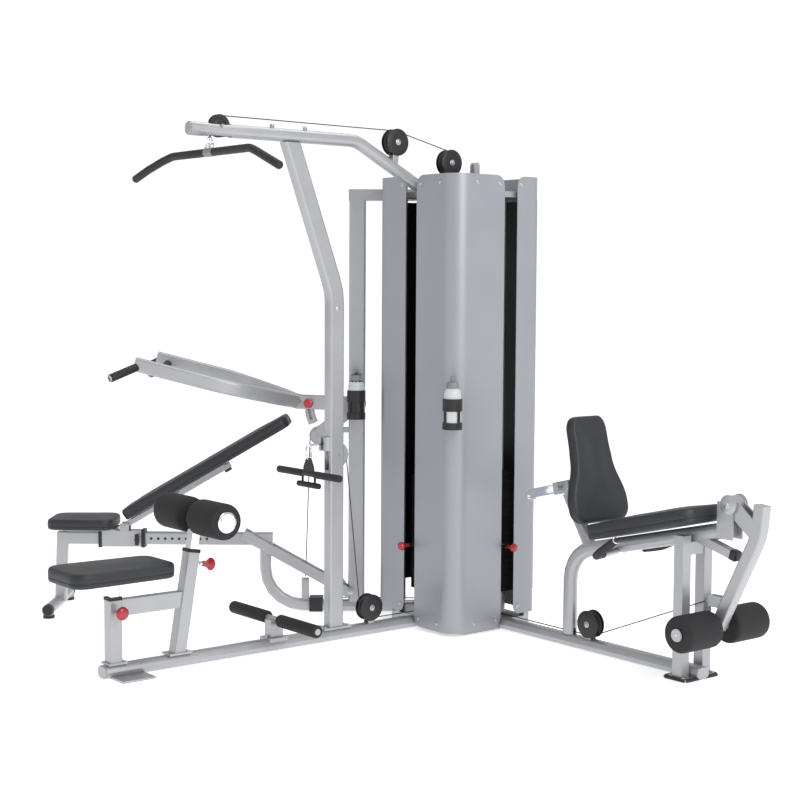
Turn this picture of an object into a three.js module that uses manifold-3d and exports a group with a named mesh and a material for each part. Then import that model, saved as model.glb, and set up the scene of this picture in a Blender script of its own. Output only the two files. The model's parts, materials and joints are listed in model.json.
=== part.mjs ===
// Multi station home gym: one tower with three weight stacks, a lat pulldown and row station,
// a leg station and a chest press station. Millimetres, +Z up, floor at z 0, origin under the tower.
import * as THREE from 'three';
import { mergeVertices } from 'three/addons/utils/BufferGeometryUtils.js';
import Module from 'manifold-3d';

const wasm = await Module();
wasm.setup();

// ---- driving dimensions ----
const GAP = 0.4; // running clearance between neighbouring pieces
const LAT_ANGLE = 225;
const LEG_ANGLE = 315;
const PRESS_ANGLE = 186;
const PRESS_ORIGIN = [-155, 122];

const PLATE_PITCH = 25.4;
const PLATE_COUNT = 20;
const LIFTED_COUNT = 12;
const STACK_BOTTOM = 150;
const STACK_WIDE = 200;
const STACK_DEEP = 110;
const STACK_OFFSET = 170; // stack centre from the tower axis
const ROD_SPREAD = 70;
const ROD_R = 9;
const HEAD_HEIGHT = 70;
const TOP_PLATE_Z = 1880;
const TOP_PLATE_T = 25;
const BASE_PLATE_T = 40;
const TOWER = { u0: -150, u1: 270, v0: -230, v1: 270 };
const SHROUD = { u0: -170, u1: 318, v0: -250, v1: 290, thick: 3, bottom: 60, top: 1970 };
const SLOT_HALF = 37.5; // half the opening between shrouds

const TUBE_W = 70;
const TUBE_H = 50;
const CABLE_R = 2.2;
const SHEAVE = { r: 53, floor: 45.5, run: 49, wide: 24 };
const FRONT_SHEAVE = { r: 45, floor: 37.5, run: 41, wide: 24 };
const INNER = { r: 40, floor: 32.5, run: 36, wide: 20, topZ: 1830 };
const BOLT_R = 6;

// ---- helpers ----
const solid = (geometry) => {
  const g = geometry.clone();
  g.deleteAttribute('normal');
  g.deleteAttribute('uv');
  const m = mergeVertices(g, 1e-3);
  const index = m.index ? m.index.array : [...Array(m.attributes.position.count).keys()];
  return new wasm.Manifold(new wasm.Mesh({
    numProp: 3,
    vertProperties: new Float32Array(m.attributes.position.array),
    triVerts: new Uint32Array(index),
  }));
};

const join = (...pieces) => pieces.flat().reduce((a, b) => a.add(b));
const cut = (body, ...tools) => tools.flat().reduce((a, b) => a.subtract(b), body);

const box = (x0, x1, y0, y1, z0, z1) => {
  const g = new THREE.BoxGeometry(x1 - x0, y1 - y0, z1 - z0);
  g.translate((x0 + x1) / 2, (y0 + y1) / 2, (z0 + z1) / 2);
  return solid(g);
};

// Cylinder from p to q.
const rod = (p, q, r, sides = 12, r2 = r) => {
  const a = new THREE.Vector3(...p);
  const b = new THREE.Vector3(...q);
  const g = new THREE.CylinderGeometry(r2, r, a.distanceTo(b), sides);
  const turn = new THREE.Quaternion().setFromUnitVectors(
    new THREE.Vector3(0, 1, 0), b.clone().sub(a).normalize());
  g.applyQuaternion(turn);
  g.translate((a.x + b.x) / 2, (a.y + b.y) / 2, (a.z + b.z) / 2);
  return solid(g);
};

// Curve that stops exactly at the given stations.
class Stations extends THREE.Curve {
  constructor(points) {
    super();
    this.points = points.map((p) => new THREE.Vector3(...p));
  }

  getPointAt(u) {
    return this.points[Math.round(u * (this.points.length - 1))].clone();
  }

  getPoint(u) {
    return this.getPointAt(u);
  }

  getTangentAt(u) {
    const last = this.points.length - 1;
    const i = Math.round(u * last);
    const into = this.points[i].clone().sub(this.points[Math.max(i - 1, 0)]).normalize();
    const out = this.points[Math.min(i + 1, last)].clone().sub(this.points[i]).normalize();
    return into.add(out).normalize();
  }

  // The first axis of the section stays sideways, so a section never twists.
  computeFrenetFrames(segments) {
    const tangents = [];
    const normals = [];
    const binormals = [];
    for (let i = 0; i <= segments; i += 1) {
      const t = this.getTangentAt(i / segments);
      const side = Math.abs(t.y) > 0.95 ? new THREE.Vector3(1, 0, 0) : new THREE.Vector3(0, 1, 0);
      const n = side.addScaledVector(t, -side.dot(t)).normalize();
      tangents.push(t);
      normals.push(n);
      binormals.push(t.clone().cross(n));
    }
    return { tangents, normals, binormals };
  }
}

const roundedRect = (w, h, r, steps) => {
  const shape = new THREE.Shape();
  const corners = [[w / 2 - r, h / 2 - r, 0], [-w / 2 + r, h / 2 - r, 90],
    [-w / 2 + r, -h / 2 + r, 180], [w / 2 - r, -h / 2 + r, 270]];
  const points = [];
  for (const [cx, cy, start] of corners) {
    for (let i = 0; i <= steps; i += 1) {
      const a = THREE.MathUtils.degToRad(start + (90 * i) / steps);
      points.push(new THREE.Vector2(cx + r * Math.cos(a), cy + r * Math.sin(a)));
    }
  }
  shape.setFromPoints(points);
  return shape;
};

const disc = (r, sides) => {
  const points = [];
  for (let i = 0; i < sides; i += 1) {
    const a = (2 * Math.PI * i) / sides;
    points.push(new THREE.Vector2(r * Math.cos(a), r * Math.sin(a)));
  }
  return new THREE.Shape().setFromPoints(points);
};

const sweep = (shape, points) => solid(new THREE.ExtrudeGeometry(shape, {
  steps: points.length - 1, extrudePath: new Stations(points), bevelEnabled: false,
}));

// Corners of a polyline in the s-z plane turned into bends of radius r.
const bend = (points, r, t = 0, step = 18) => {
  const out = [[points[0][0], t, points[0][1]]];
  for (let i = 1; i < points.length - 1; i += 1) {
    const p = new THREE.Vector2(...points[i]);
    const a = new THREE.Vector2(...points[i - 1]).sub(p).normalize();
    const b = new THREE.Vector2(...points[i + 1]).sub(p).normalize();
    const turn = Math.PI - Math.acos(THREE.MathUtils.clamp(a.dot(b), -1, 1));
    const back = r * Math.tan(turn / 2);
    const middle = a.clone().add(b).normalize();
    const centre = p.clone().addScaledVector(middle, r / Math.cos(turn / 2));
    const from = p.clone().addScaledVector(a, back).sub(centre);
    const side = Math.sign(a.x * b.y - a.y * b.x);
    const n = Math.max(2, Math.ceil(THREE.MathUtils.radToDeg(turn) / step));
    for (let k = 0; k <= n; k += 1) {
      const v = from.clone().rotateAround(new THREE.Vector2(), (-side * turn * k) / n);
      out.push([centre.x + v.x, t, centre.y + v.y]);
    }
  }
  const last = points[points.length - 1];
  out.push([last[0], t, last[1]]);
  return out;
};

const bar = (points, w, h, r = 6, bendR = 60, steps = 2, t = 0) => sweep(
  roundedRect(w, h, r, steps), points.length > 2 ? bend(points, bendR, t)
    : points.map(([s, z]) => [s, t, z]));

const obround = (points, w = TUBE_W, h = TUBE_H, bendR = 90) => bar(
  points, w, h, Math.min(w, h) / 2 - 0.5, bendR, 3);

// A cable path round sheaves. Each item is [s, z] or [s, z, run], run positive when the sheave
// is on the left of the cable and negative when it is on the right.
const beltPath = (items, t = 0, step = 22.5) => {
  const headings = [];
  for (let i = 0; i < items.length - 1; i += 1) {
    const [s0, z0, q0 = 0] = items[i];
    const [s1, z1, q1 = 0] = items[i + 1];
    const length = Math.hypot(s1 - s0, z1 - z0);
    headings.push(Math.atan2(z1 - z0, s1 - s0) - Math.asin((q1 - q0) / length));
  }
  const out = [];
  items.forEach(([s, z, q = 0], i) => {
    const first = headings[Math.max(i - 1, 0)];
    const last = headings[Math.min(i, headings.length - 1)];
    if (!q) {
      out.push([s, t, z]);
      return;
    }
    const full = 2 * Math.PI;
    let turn = last - first;
    if (q > 0) turn = ((turn % full) + full) % full;
    else turn = -(((-turn % full) + full) % full);
    const n = Math.max(1, Math.ceil(THREE.MathUtils.radToDeg(Math.abs(turn)) / step));
    for (let k = 0; k <= n; k += 1) {
      const h = first + (turn * k) / n;
      out.push([s + Math.sin(h) * q, t, z - Math.cos(h) * q]);
    }
  });
  return out;
};

const cable = (items, t = 0) => sweep(disc(CABLE_R, 6), beltPath(items, t));

// Grooved sheave with a bore, its axle along t.
const sheave = (s, z, size, t = 0, bore = BOLT_R + GAP) => {
  const half = size.wide / 2;
  const lip = 7;
  const profile = [[bore, -half], [size.r, -half], [size.r, -lip], [size.floor, -4],
    [size.floor, 4], [size.r, lip], [size.r, half], [bore, half]]
    .map(([x, y]) => new THREE.Vector2(x, y));
  if (bore) profile.push(profile[0].clone());
  const g = new THREE.LatheGeometry(profile, bore ? 16 : 10);
  g.translate(s, t, z);
  return solid(g);
};

// Bolt through a sheave with a head each side, and straps from it to a fixing point.
const sheaveBracket = (s, z, foot, size, strap = 30) => {
  const half = size.wide / 2;
  const inner = half + 1.2;
  const outer = inner + 4;
  const [fs, fz] = foot;
  const pieces = [rod([s, -outer - 6, z], [s, outer + 6, z], BOLT_R, 12)];
  for (const side of [-1, 1]) {
    const middle = side * (inner + outer) / 2;
    const shape = roundedRect(4, strap, 1.5, 1);
    const along = new THREE.Vector2(fs - s, fz - z).normalize().multiplyScalar(strap / 2);
    pieces.push(sweep(shape, [[s - along.x, middle, z - along.y], [fs, middle, fz]]));
    pieces.push(rod([s, side * outer, z], [s, side * (outer + 5), z], 10, 6));
  }
  return join(pieces);
};

const knob = (from, to, r) => {
  const a = new THREE.Vector3(...from);
  const b = new THREE.Vector3(...to);
  const neck = a.clone().lerp(b, 0.72).toArray();
  const rim = a.clone().lerp(b, 0.86).toArray();
  return join(rod(from, neck, r * 0.34, 8), rod(neck, rim, r * 0.75, 12, r),
    rod(rim, to, r, 12, r * 0.6));
};

const frameMatrix = (angle, origin = [0, 0]) => new THREE.Matrix4()
  .makeTranslation(origin[0], origin[1], 0)
  .multiply(new THREE.Matrix4().makeRotationZ(THREE.MathUtils.degToRad(angle)));
const LAT = frameMatrix(LAT_ANGLE);
const LEG = frameMatrix(LEG_ANGLE);
const PRESS = frameMatrix(PRESS_ANGLE, PRESS_ORIGIN);
const WORLD = new THREE.Matrix4();

const root = new THREE.Group();
root.name = 'multi_station_home_gym';
const SILVER = [0xb4b7bc, 0.45, 0.35];
const CHROME = [0xd9dcdf, 0.18, 1];
const BLACK = [0x1b1b1d, 0.55, 0.1];
const VINYL = [0x26262b, 0.6, 0];
const FOAM = [0x202023, 0.9, 0];
const RED = [0xa52a33, 0.4, 0];
const IRON = [0x222326, 0.6, 0.4];

const add = (name, frame, body, [color, roughness, metalness]) => {
  const mesh = body.getMesh();
  const g = new THREE.BufferGeometry();
  g.setAttribute('position', new THREE.BufferAttribute(mesh.vertProperties, 3));
  g.setIndex(new THREE.BufferAttribute(mesh.triVerts, 1));
  g.applyMatrix4(frame);
  const m = new THREE.Mesh(g, new THREE.MeshStandardMaterial({ color, roughness, metalness }));
  m.name = name;
  root.add(m);
};

const inFrame = (body, from, to) => {
  const m = to.clone().invert().multiply(from);
  const mesh = body.getMesh();
  const g = new THREE.BufferGeometry();
  g.setAttribute('position', new THREE.BufferAttribute(mesh.vertProperties.slice(), 3));
  g.setIndex(new THREE.BufferAttribute(mesh.triVerts.slice(), 1));
  g.applyMatrix4(m);
  return solid(g);
};

// ---- tower ----
// Tower plan axes: u runs with the lat arm, v with the leg arm.
const UV = LAT;
const HOLE_R = ROD_R + 1.4;
const leverSheave = { s: 526, z: 812 };
const pressBaseSheave = { s: 445, z: 110 };
const rowBaseSheave = { s: 538, z: 116 };
const rowMidSheave = { s: 713, z: 787 };
const legBaseSheave = { s: 800, z: 111 };
const latFront = { s: 1289, z: 2117 };
const latMiddle = { s: 409, z: 2106 };
const latRear = { s: 106, z: 2035 };
const innerZ = (outerZ) => outerZ - SHEAVE.run + INNER.run;
const rowUp = 60;
const legUp = 30;
const pressUp = -168;
const LEG_DROP = [134, STACK_OFFSET];
const PRESS_DROP = [-64, -28];
const LAT_DROP = 190;
const latGuide = LAT_DROP - INNER.run;
const ROW_DROP = rowUp + INNER.run;

// Rod positions of a stack, in its own frame with the stack at s.
const rodSpots = (s) => [[s, -ROD_SPREAD], [s, ROD_SPREAD]];
const pressStackFrame = frameMatrix(135);
const STACK_FRAMES = { lat: [LAT, STACK_OFFSET], leg: [LEG, STACK_OFFSET],
  press: [pressStackFrame, STACK_OFFSET + 6] };

const innerSheave = (s, z, footZ) => {
  const half = INNER.wide / 2;
  const pieces = [sheave(s, z, INNER, 0, 0), rod([s, -half - 5, z], [s, half + 5, z], 6, 6)];
  for (const side of [-1, 1]) {
    const y = side * (half + 3);
    pieces.push(box(s - 12, s + 12, y - 2, y + 2, Math.min(z - 6, footZ), Math.max(z + 6, footZ)));
  }
  return join(pieces);
};

const RIM = TOP_PLATE_Z + TOP_PLATE_T;
const HEAD_FOOT = RIM - 10; // level that parts hung in the top plate reach up to

// Plate with two cut corners that covers the tower's plan.
const towerPlate = (z, depth) => {
  const { u0, u1, v0, v1 } = TOWER;
  const corner = 50;
  const plan = new THREE.Shape().setFromPoints([[u0, v0], [u1 - corner, v0], [u1, v0 + corner],
    [u1, v1 - corner], [u1 - corner, v1], [u0, v1]].map(([x, y]) => new THREE.Vector2(x, y)));
  return solid(new THREE.ExtrudeGeometry(plan, { depth, bevelEnabled: false }).translate(0, 0, z));
};

const innerSheaves = (list) => list.map(([frame, s, z, foot]) => inFrame(
  innerSheave(s, z, foot), frame, UV));

const towerFrame = () => {
  const { u0, u1, v0, v1 } = TOWER;
  const under = TOP_PLATE_Z - GAP;
  const pieces = [towerPlate(0, BASE_PLATE_T)];
  for (const [frame, s] of Object.values(STACK_FRAMES)) {
    for (const [x, y] of rodSpots(s)) {
      pieces.push(inFrame(join(rod([x, y, 20], [x, y, under], ROD_R, 8),
        rod([x, y, 20], [x, y, STACK_BOTTOM - GAP], 20, 8)), frame, UV));
    }
  }
  const columns = [[u0 + 15, v0 + 15], [u0 + 15, v1 - 15], [u1 - 15, -140], [u1 - 15, 140]];
  for (const [x, y] of columns) pieces.push(box(x - 15, x + 15, y - 15, y + 15, 20, under));
  pieces.push(...innerSheaves([[LAT, rowUp, innerZ(rowBaseSheave.z), 20],
    [LEG, legUp, innerZ(legBaseSheave.z), 20], [PRESS, pressUp, innerZ(pressBaseSheave.z), 20]]));
  return join(pieces);
};

const CLEVIS_Z = 2018;

// Top plate with the sheaves hung under it, the rear lat sheave's bracket and a clevis.
const towerHead = () => {
  const hung = [[LAT, rowUp], [LAT, latGuide], [LEG, legUp], [LEG, LEG_DROP[0]],
    [PRESS, pressUp], [PRESS, PRESS_DROP[0]]];
  const pieces = [towerPlate(TOP_PLATE_Z, TOP_PLATE_T),
    ...innerSheaves(hung.map(([frame, s]) => [frame, s, INNER.topZ, HEAD_FOOT])),
    sheaveBracket(latRear.s, latRear.z, [latRear.s, RIM - 5], SHEAVE)];
  for (const side of [-1, 1]) {
    const cheek = join(box(-15, 15, side * 12 - 3, side * 12 + 3, RIM - 5, CLEVIS_Z),
      rod([0, side * 12 - 3, CLEVIS_Z], [0, side * 12 + 3, CLEVIS_Z], 15, 12));
    pieces.push(cheek.translate([60, 120, 0]));
  }
  const cableHole = box(112, 176, -8, 8, TOP_PLATE_Z - 5, RIM + 5);
  return cut(join(pieces), cableHole);
};

// Bent sheet through plan points, with round corners, as a wall of the shroud thickness.
const sheet = (points, r, bottom, top) => {
  const line = bend(points, r, 0, 11).map(([x, , y]) => new THREE.Vector2(x, y));
  const half = SHROUD.thick / 2;
  const offset = (side) => line.map((p, i) => {
    const a = line[Math.max(i - 1, 0)];
    const b = line[Math.min(i + 1, line.length - 1)];
    const d = b.clone().sub(a).normalize();
    return new THREE.Vector2(p.x - d.y * half * side, p.y + d.x * half * side);
  });
  const shape = new THREE.Shape().setFromPoints([...offset(1), ...offset(-1).reverse()]);
  const g = new THREE.ExtrudeGeometry(shape, { depth: top - bottom, bevelEnabled: false });
  g.translate(0, 0, bottom);
  return solid(g);
};

const SHROUD_BEND = 75;
const PRESS_GAP = [-45, 135];

const shrouds = () => {
  const h = SHROUD.thick / 2;
  const u0 = SHROUD.u0 - h;
  const u1 = SHROUD.u1 - h;
  const v0 = SHROUD.v0 - h;
  const v1 = SHROUD.v1 - h;
  add('shroud_front', UV, sheet([[u1, SLOT_HALF], [u1, v1], [SLOT_HALF, v1]], SHROUD_BEND,
    12, SHROUD.top), SILVER);
  add('shroud_left', UV, sheet([[PRESS_GAP[1], v0], [u1, v0], [u1, -SLOT_HALF]], SHROUD_BEND,
    SHROUD.bottom, SHROUD.top), SILVER);
  add('shroud_right', UV, sheet([[-SLOT_HALF, v1], [u0, v1], [u0, v0], [PRESS_GAP[0], v0]], 35,
    SHROUD.bottom, SHROUD.top), SILVER);
};

// ---- weight stacks ----
// Block of grooved plates, drawn in the s-z plane and swept along t.
const plateBlock = (s, z0, count) => {
  const front = s + STACK_DEEP / 2;
  const back = s - STACK_DEEP / 2;
  const groove = 2.5;
  const points = [];
  for (let i = 0; i < count; i += 1) {
    const z = z0 + i * PLATE_PITCH;
    points.push([front, z + groove], [front, z + PLATE_PITCH - groove],
      [front - groove, z + PLATE_PITCH]);
  }
  points.unshift([front - groove, z0 + GAP]);
  points[points.length - 1][1] -= GAP;
  const right = points.map(([x, z]) => new THREE.Vector2(x, z));
  const left = points.map(([x, z]) => new THREE.Vector2(back + front - x, z)).reverse();
  const shape = new THREE.Shape().setFromPoints([...right, ...left]);
  const g = new THREE.ExtrudeGeometry(shape, { depth: STACK_WIDE, bevelEnabled: false });
  g.rotateX(Math.PI / 2);
  g.translate(0, STACK_WIDE / 2, 0);
  return solid(g);
};

const SELECT_Z = STACK_BOTTOM + (PLATE_COUNT - LIFTED_COUNT + 0.5) * PLATE_PITCH;
const LIFT_Z = STACK_BOTTOM + (PLATE_COUNT - LIFTED_COUNT) * PLATE_PITCH;
const STACK_TOP = STACK_BOTTOM + PLATE_COUNT * PLATE_PITCH;
const HEAD_TOP = STACK_TOP + HEAD_HEIGHT;
const PIN_R = 5;

const rodHoles = (s, r) => rodSpots(s).map(([x, y]) => rod([x, y, 100], [x, y, 1200], r, 8));

const stack = (name, frame, s, pull, reach) => {
  const lowPlates = cut(plateBlock(s, STACK_BOTTOM, PLATE_COUNT - LIFTED_COUNT),
    rodHoles(s, HOLE_R), rod([s, 0, 100], [s, 0, 1200], 12, 12));
  const front = s + STACK_DEEP / 2;
  const head = join(box(s - 50, s + 50, -90, 90, STACK_TOP - 5, STACK_TOP + 30),
    box(s - 38, s + 38, -22, 22, STACK_TOP + 20, HEAD_TOP));
  const selector = rod([s, 0, STACK_BOTTOM + 10], [s, 0, LIFT_Z + 20], 11, 12);
  const lifted = cut(join(plateBlock(s, LIFT_Z, LIFTED_COUNT), head, selector),
    rodHoles(s, HOLE_R),
    rod([front - 35, 0, SELECT_Z], [front + 5, 0, SELECT_Z], PIN_R + 0.6, 10));
  const yoke = box(Math.min(...pull) - 8, Math.max(...pull) + 8, -8, 8,
    HEAD_TOP + GAP, HEAD_TOP + 14);
  const pin = join(rod([front - 32, 0, SELECT_Z], [front + 30, 0, SELECT_Z], PIN_R, 10),
    knob([front + 26, 0, SELECT_Z], [reach, 0, SELECT_Z - 4], 19));
  add(`${name}_plates_resting`, frame, lowPlates, IRON);
  add(`${name}_stack_lifted`, frame, lifted, IRON);
  add(`${name}_selector_pin`, frame, pin, RED);
  return yoke;
};

const stackCables = (name, frame, lines, yoke, yokeFrame) => {
  const runs = lines.map(([s, top]) => inFrame(
    rod([s, 0, HEAD_TOP + 10], [s, 0, top], CABLE_R, 6), frame, yokeFrame));
  add(name, yokeFrame, join(yoke, runs), BLACK);
};

const stacks = () => {
  const drops = { lat: [ROW_DROP, LAT_DROP], leg: [LEG_DROP[1]], press: [STACK_OFFSET + 6] };
  const reach = { lat: SHROUD.u1 + 57, leg: SHROUD.v1 + 53, press: 349 }; // knob ends
  const yokes = {};
  for (const [name, [frame, s]] of Object.entries(STACK_FRAMES)) {
    yokes[name] = stack(name, frame, s, drops[name], reach[name]);
  }
  const below = INNER.topZ - 30;
  stackCables('lat_stack_cables', LAT, [[ROW_DROP, below], [LAT_DROP, below]], yokes.lat, LAT);
  stackCables('leg_stack_cable', LEG, [[LEG_DROP[1], below]], yokes.leg, LEG);
  stackCables('press_stack_cable', PRESS, [[PRESS_DROP[1], below]], yokes.press, pressStackFrame);
};

const runEnd = INNER.topZ - 30 + GAP;

const stationCables = () => {
  add('lat_cable', LAT, cable([[1330, 2072], [latFront.s, latFront.z, FRONT_SHEAVE.run],
    [latMiddle.s, latMiddle.z, SHEAVE.run], [latRear.s, latRear.z, SHEAVE.run],
    [latGuide, INNER.topZ, -INNER.run], [LAT_DROP, runEnd]]), BLACK);
  add('row_cable', LAT, cable([[806, rowMidSheave.z + SHEAVE.run],
    [rowMidSheave.s, rowMidSheave.z, SHEAVE.run],
    [rowBaseSheave.s, rowBaseSheave.z, -SHEAVE.run],
    [rowUp, innerZ(rowBaseSheave.z), -INNER.run], [rowUp, INNER.topZ, -INNER.run],
    [ROW_DROP, runEnd]]), BLACK);
  add('leg_cable', LEG, cable([[1405, 306], [legBaseSheave.s, legBaseSheave.z, -SHEAVE.run],
    [legUp, innerZ(legBaseSheave.z), -INNER.run], [legUp, INNER.topZ, -INNER.run],
    [LEG_DROP[0], INNER.topZ, -INNER.run], [LEG_DROP[1], runEnd]]), BLACK);
  const leverEnd = pressBaseSheave.s + SHEAVE.run;
  add('press_cable', PRESS, cable([[leverEnd, pressBaseSheave.z + 40],
    [pressBaseSheave.s, pressBaseSheave.z, -SHEAVE.run],
    [pressUp, innerZ(pressBaseSheave.z), -INNER.run], [pressUp, INNER.topZ, -INNER.run],
    [PRESS_DROP[0], INNER.topZ, -INNER.run], [PRESS_DROP[1], runEnd]]), BLACK);
  add('press_lever_cable', PRESS, cable([[582, 158],
    [leverSheave.s, leverSheave.z, INNER.run],
    [leverEnd, pressBaseSheave.z + 40 + GAP]]), BLACK);
};

// ---- lat pulldown and row station ----
const UPRIGHT = { s: 727, deep: 75, wide: 50, knee: 1470, topS: 949, topZ: 2100 };
const BEAM = { z: 2100, front: 1425, bendS: 620, slopeS: 200, slopeZ: 1884, w: 50, h: 54 };

const latBase = () => {
  const s = 1030;
  const half = 310;
  const z = 128;
  const pieces = [obround([[TOWER.u1 + GAP, TUBE_H / 2], [1812, TUBE_H / 2]]),
    box(1650, 1790, -70, 120, 0, 8), box(s - 45, s + 45, -38, 38, 40, 56),
    box(s - 30, s + 30, -22, 22, 45, z), rod([s, -half, z], [s, half, z], 13, 12)];
  for (const side of [-1, 1]) {
    pieces.push(rod([s, side * 45, z], [s, side * (half - 4), z], 21, 12));
  }
  for (const x of [s - 36, s + 36]) pieces.push(rod([x, 0, 50], [x, 0, 64], 8, 6));
  pieces.push(sheaveBracket(rowBaseSheave.s, rowBaseSheave.z, [rowBaseSheave.s, 40], SHEAVE));
  return join(pieces);
};

const latUpright = () => {
  const { s, deep, wide, knee, topS, topZ } = UPRIGHT;
  const post = bar([[s, TUBE_H + GAP], [s, knee], [topS + 12, topZ]], wide, deep, 12, 260, 3);
  const slot = box(s - 60, s + 60, -14, 14, rowMidSheave.z - 62, rowMidSheave.z + 62);
  const trimmed = cut(post, box(500, 1300, -60, 60, BEAM.z - BEAM.h / 2 - GAP, 2300), slot,
    box(500, 1300, -60, 60, 0, TUBE_H + GAP));
  const flange = box(s - 70, s + 70, -33, 33, TUBE_H + GAP, TUBE_H + 9);
  const axle = rod([rowMidSheave.s, -30, rowMidSheave.z], [rowMidSheave.s, 30, rowMidSheave.z],
    BOLT_R, 12);
  const stop = [-1, 1].map((side) => box(s + 30, s + 62, side * 16 - 6, side * 16 + 6,
    rowMidSheave.z + 20, rowMidSheave.z + 78));
  const wheel = sheave(rowMidSheave.s, rowMidSheave.z, SHEAVE, 0, BOLT_R - 1);
  return join(trimmed, flange, axle, wheel, stop);
};

const latBeam = () => {
  const { z, front, bendS, slopeS, slopeZ, w, h } = BEAM;
  const beam = sweep(roundedRect(w, h, w / 2 - 0.5, 4), bend([[front, z], [bendS, z],
    [slopeS, slopeZ]], 130));
  const slotHalf = FRONT_SHEAVE.wide / 2 + 1.5;
  const slot = box(latFront.s - 52, latFront.s + 52, -slotHalf, slotHalf, z - 60, z + 60);
  const trimmed = cut(beam, box(0, SHROUD.u1 + 8, -60, 60, 1700, RIM + GAP), slot);
  const axle = rod([latFront.s, -30, latFront.z], [latFront.s, 30, latFront.z], BOLT_R, 10);
  const bolts = [1039, 877].map((s) => rod([s, 0, z + h / 2 - 2], [s, 0, z + h / 2 + 9], 9, 6));
  return join(trimmed, axle, bolts,
    sheaveBracket(latMiddle.s, latMiddle.z, [latMiddle.s + 12, 2000], SHEAVE));
};

const seatPostS = 1767;
const SEAT_PIN_Z = 257;
const SEAT_TRAVEL = 100;
const KNEE_PIN_D = -48; // pin axis along the knee post, from its mouth
const KNEE_TRAVEL = 90;
const PIN_SLOT = 13; // width of the slots that stand for rows of pin holes
const KNEE = { footS: 1488, footZ: 50, headS: 1421, headZ: 452, axleS: 1398.3, axleZ: 588.2 };
const kneeDir = new THREE.Vector2(KNEE.headS - KNEE.footS, KNEE.headZ - KNEE.footZ).normalize();
const along = (d) => [KNEE.headS + kneeDir.x * d, KNEE.headZ + kneeDir.y * d];

// Hollow square post, open at the top.
const socket = (from, to, size, bore, depth) => {
  const dir = new THREE.Vector2(to[0] - from[0], to[1] - from[1]).normalize();
  const start = [to[0] - dir.x * depth, to[1] - dir.y * depth];
  const end = [to[0] + dir.x * 5, to[1] + dir.y * 5];
  return cut(bar([from, to], size, size, 5), bar([start, end], bore, bore, 2));
};

const latSeatFrame = () => {
  const foot = TUBE_H + GAP;
  const seatPost = socket([seatPostS, foot], [seatPostS, 303], 52, 42, 190);
  const low = [KNEE.footS + 8, 2];
  const kneePost = cut(socket(low, [KNEE.headS, KNEE.headZ], 52, 42, 190),
    box(1300, 1700, -60, 60, -50, foot));
  const brace = cut(box(1440, seatPostS - 24, -20, 20, 235, 297),
    bar([low, along(300)], 42.5, 42.5, 2),
    bar([[seatPostS, 60], [seatPostS, 400]], 42.5, 42.5, 2));
  const feet = [box(seatPostS - 45, seatPostS + 35, -33, 33, foot, foot + 8),
    box(KNEE.footS - 50, KNEE.footS + 50, -33, 33, foot, foot + 8)];
  const frame = join(seatPost, kneePost, brace, feet);
  return cut(frame, rod([seatPostS, 0, SEAT_PIN_Z], [seatPostS, 60, SEAT_PIN_Z], 7, 12),
    rod(pinSpot(0), pinSpot(60), 7, 12));
};

// Point on the knee post's pin axis, which leaves the post toward the tower.
const kneeSide = [-kneeDir.y, kneeDir.x];
const pinSpot = (d, at = KNEE_PIN_D) => {
  const [s, z] = along(at);
  return [s + kneeSide[0] * d, 0, z + kneeSide[1] * d];
};

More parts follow.
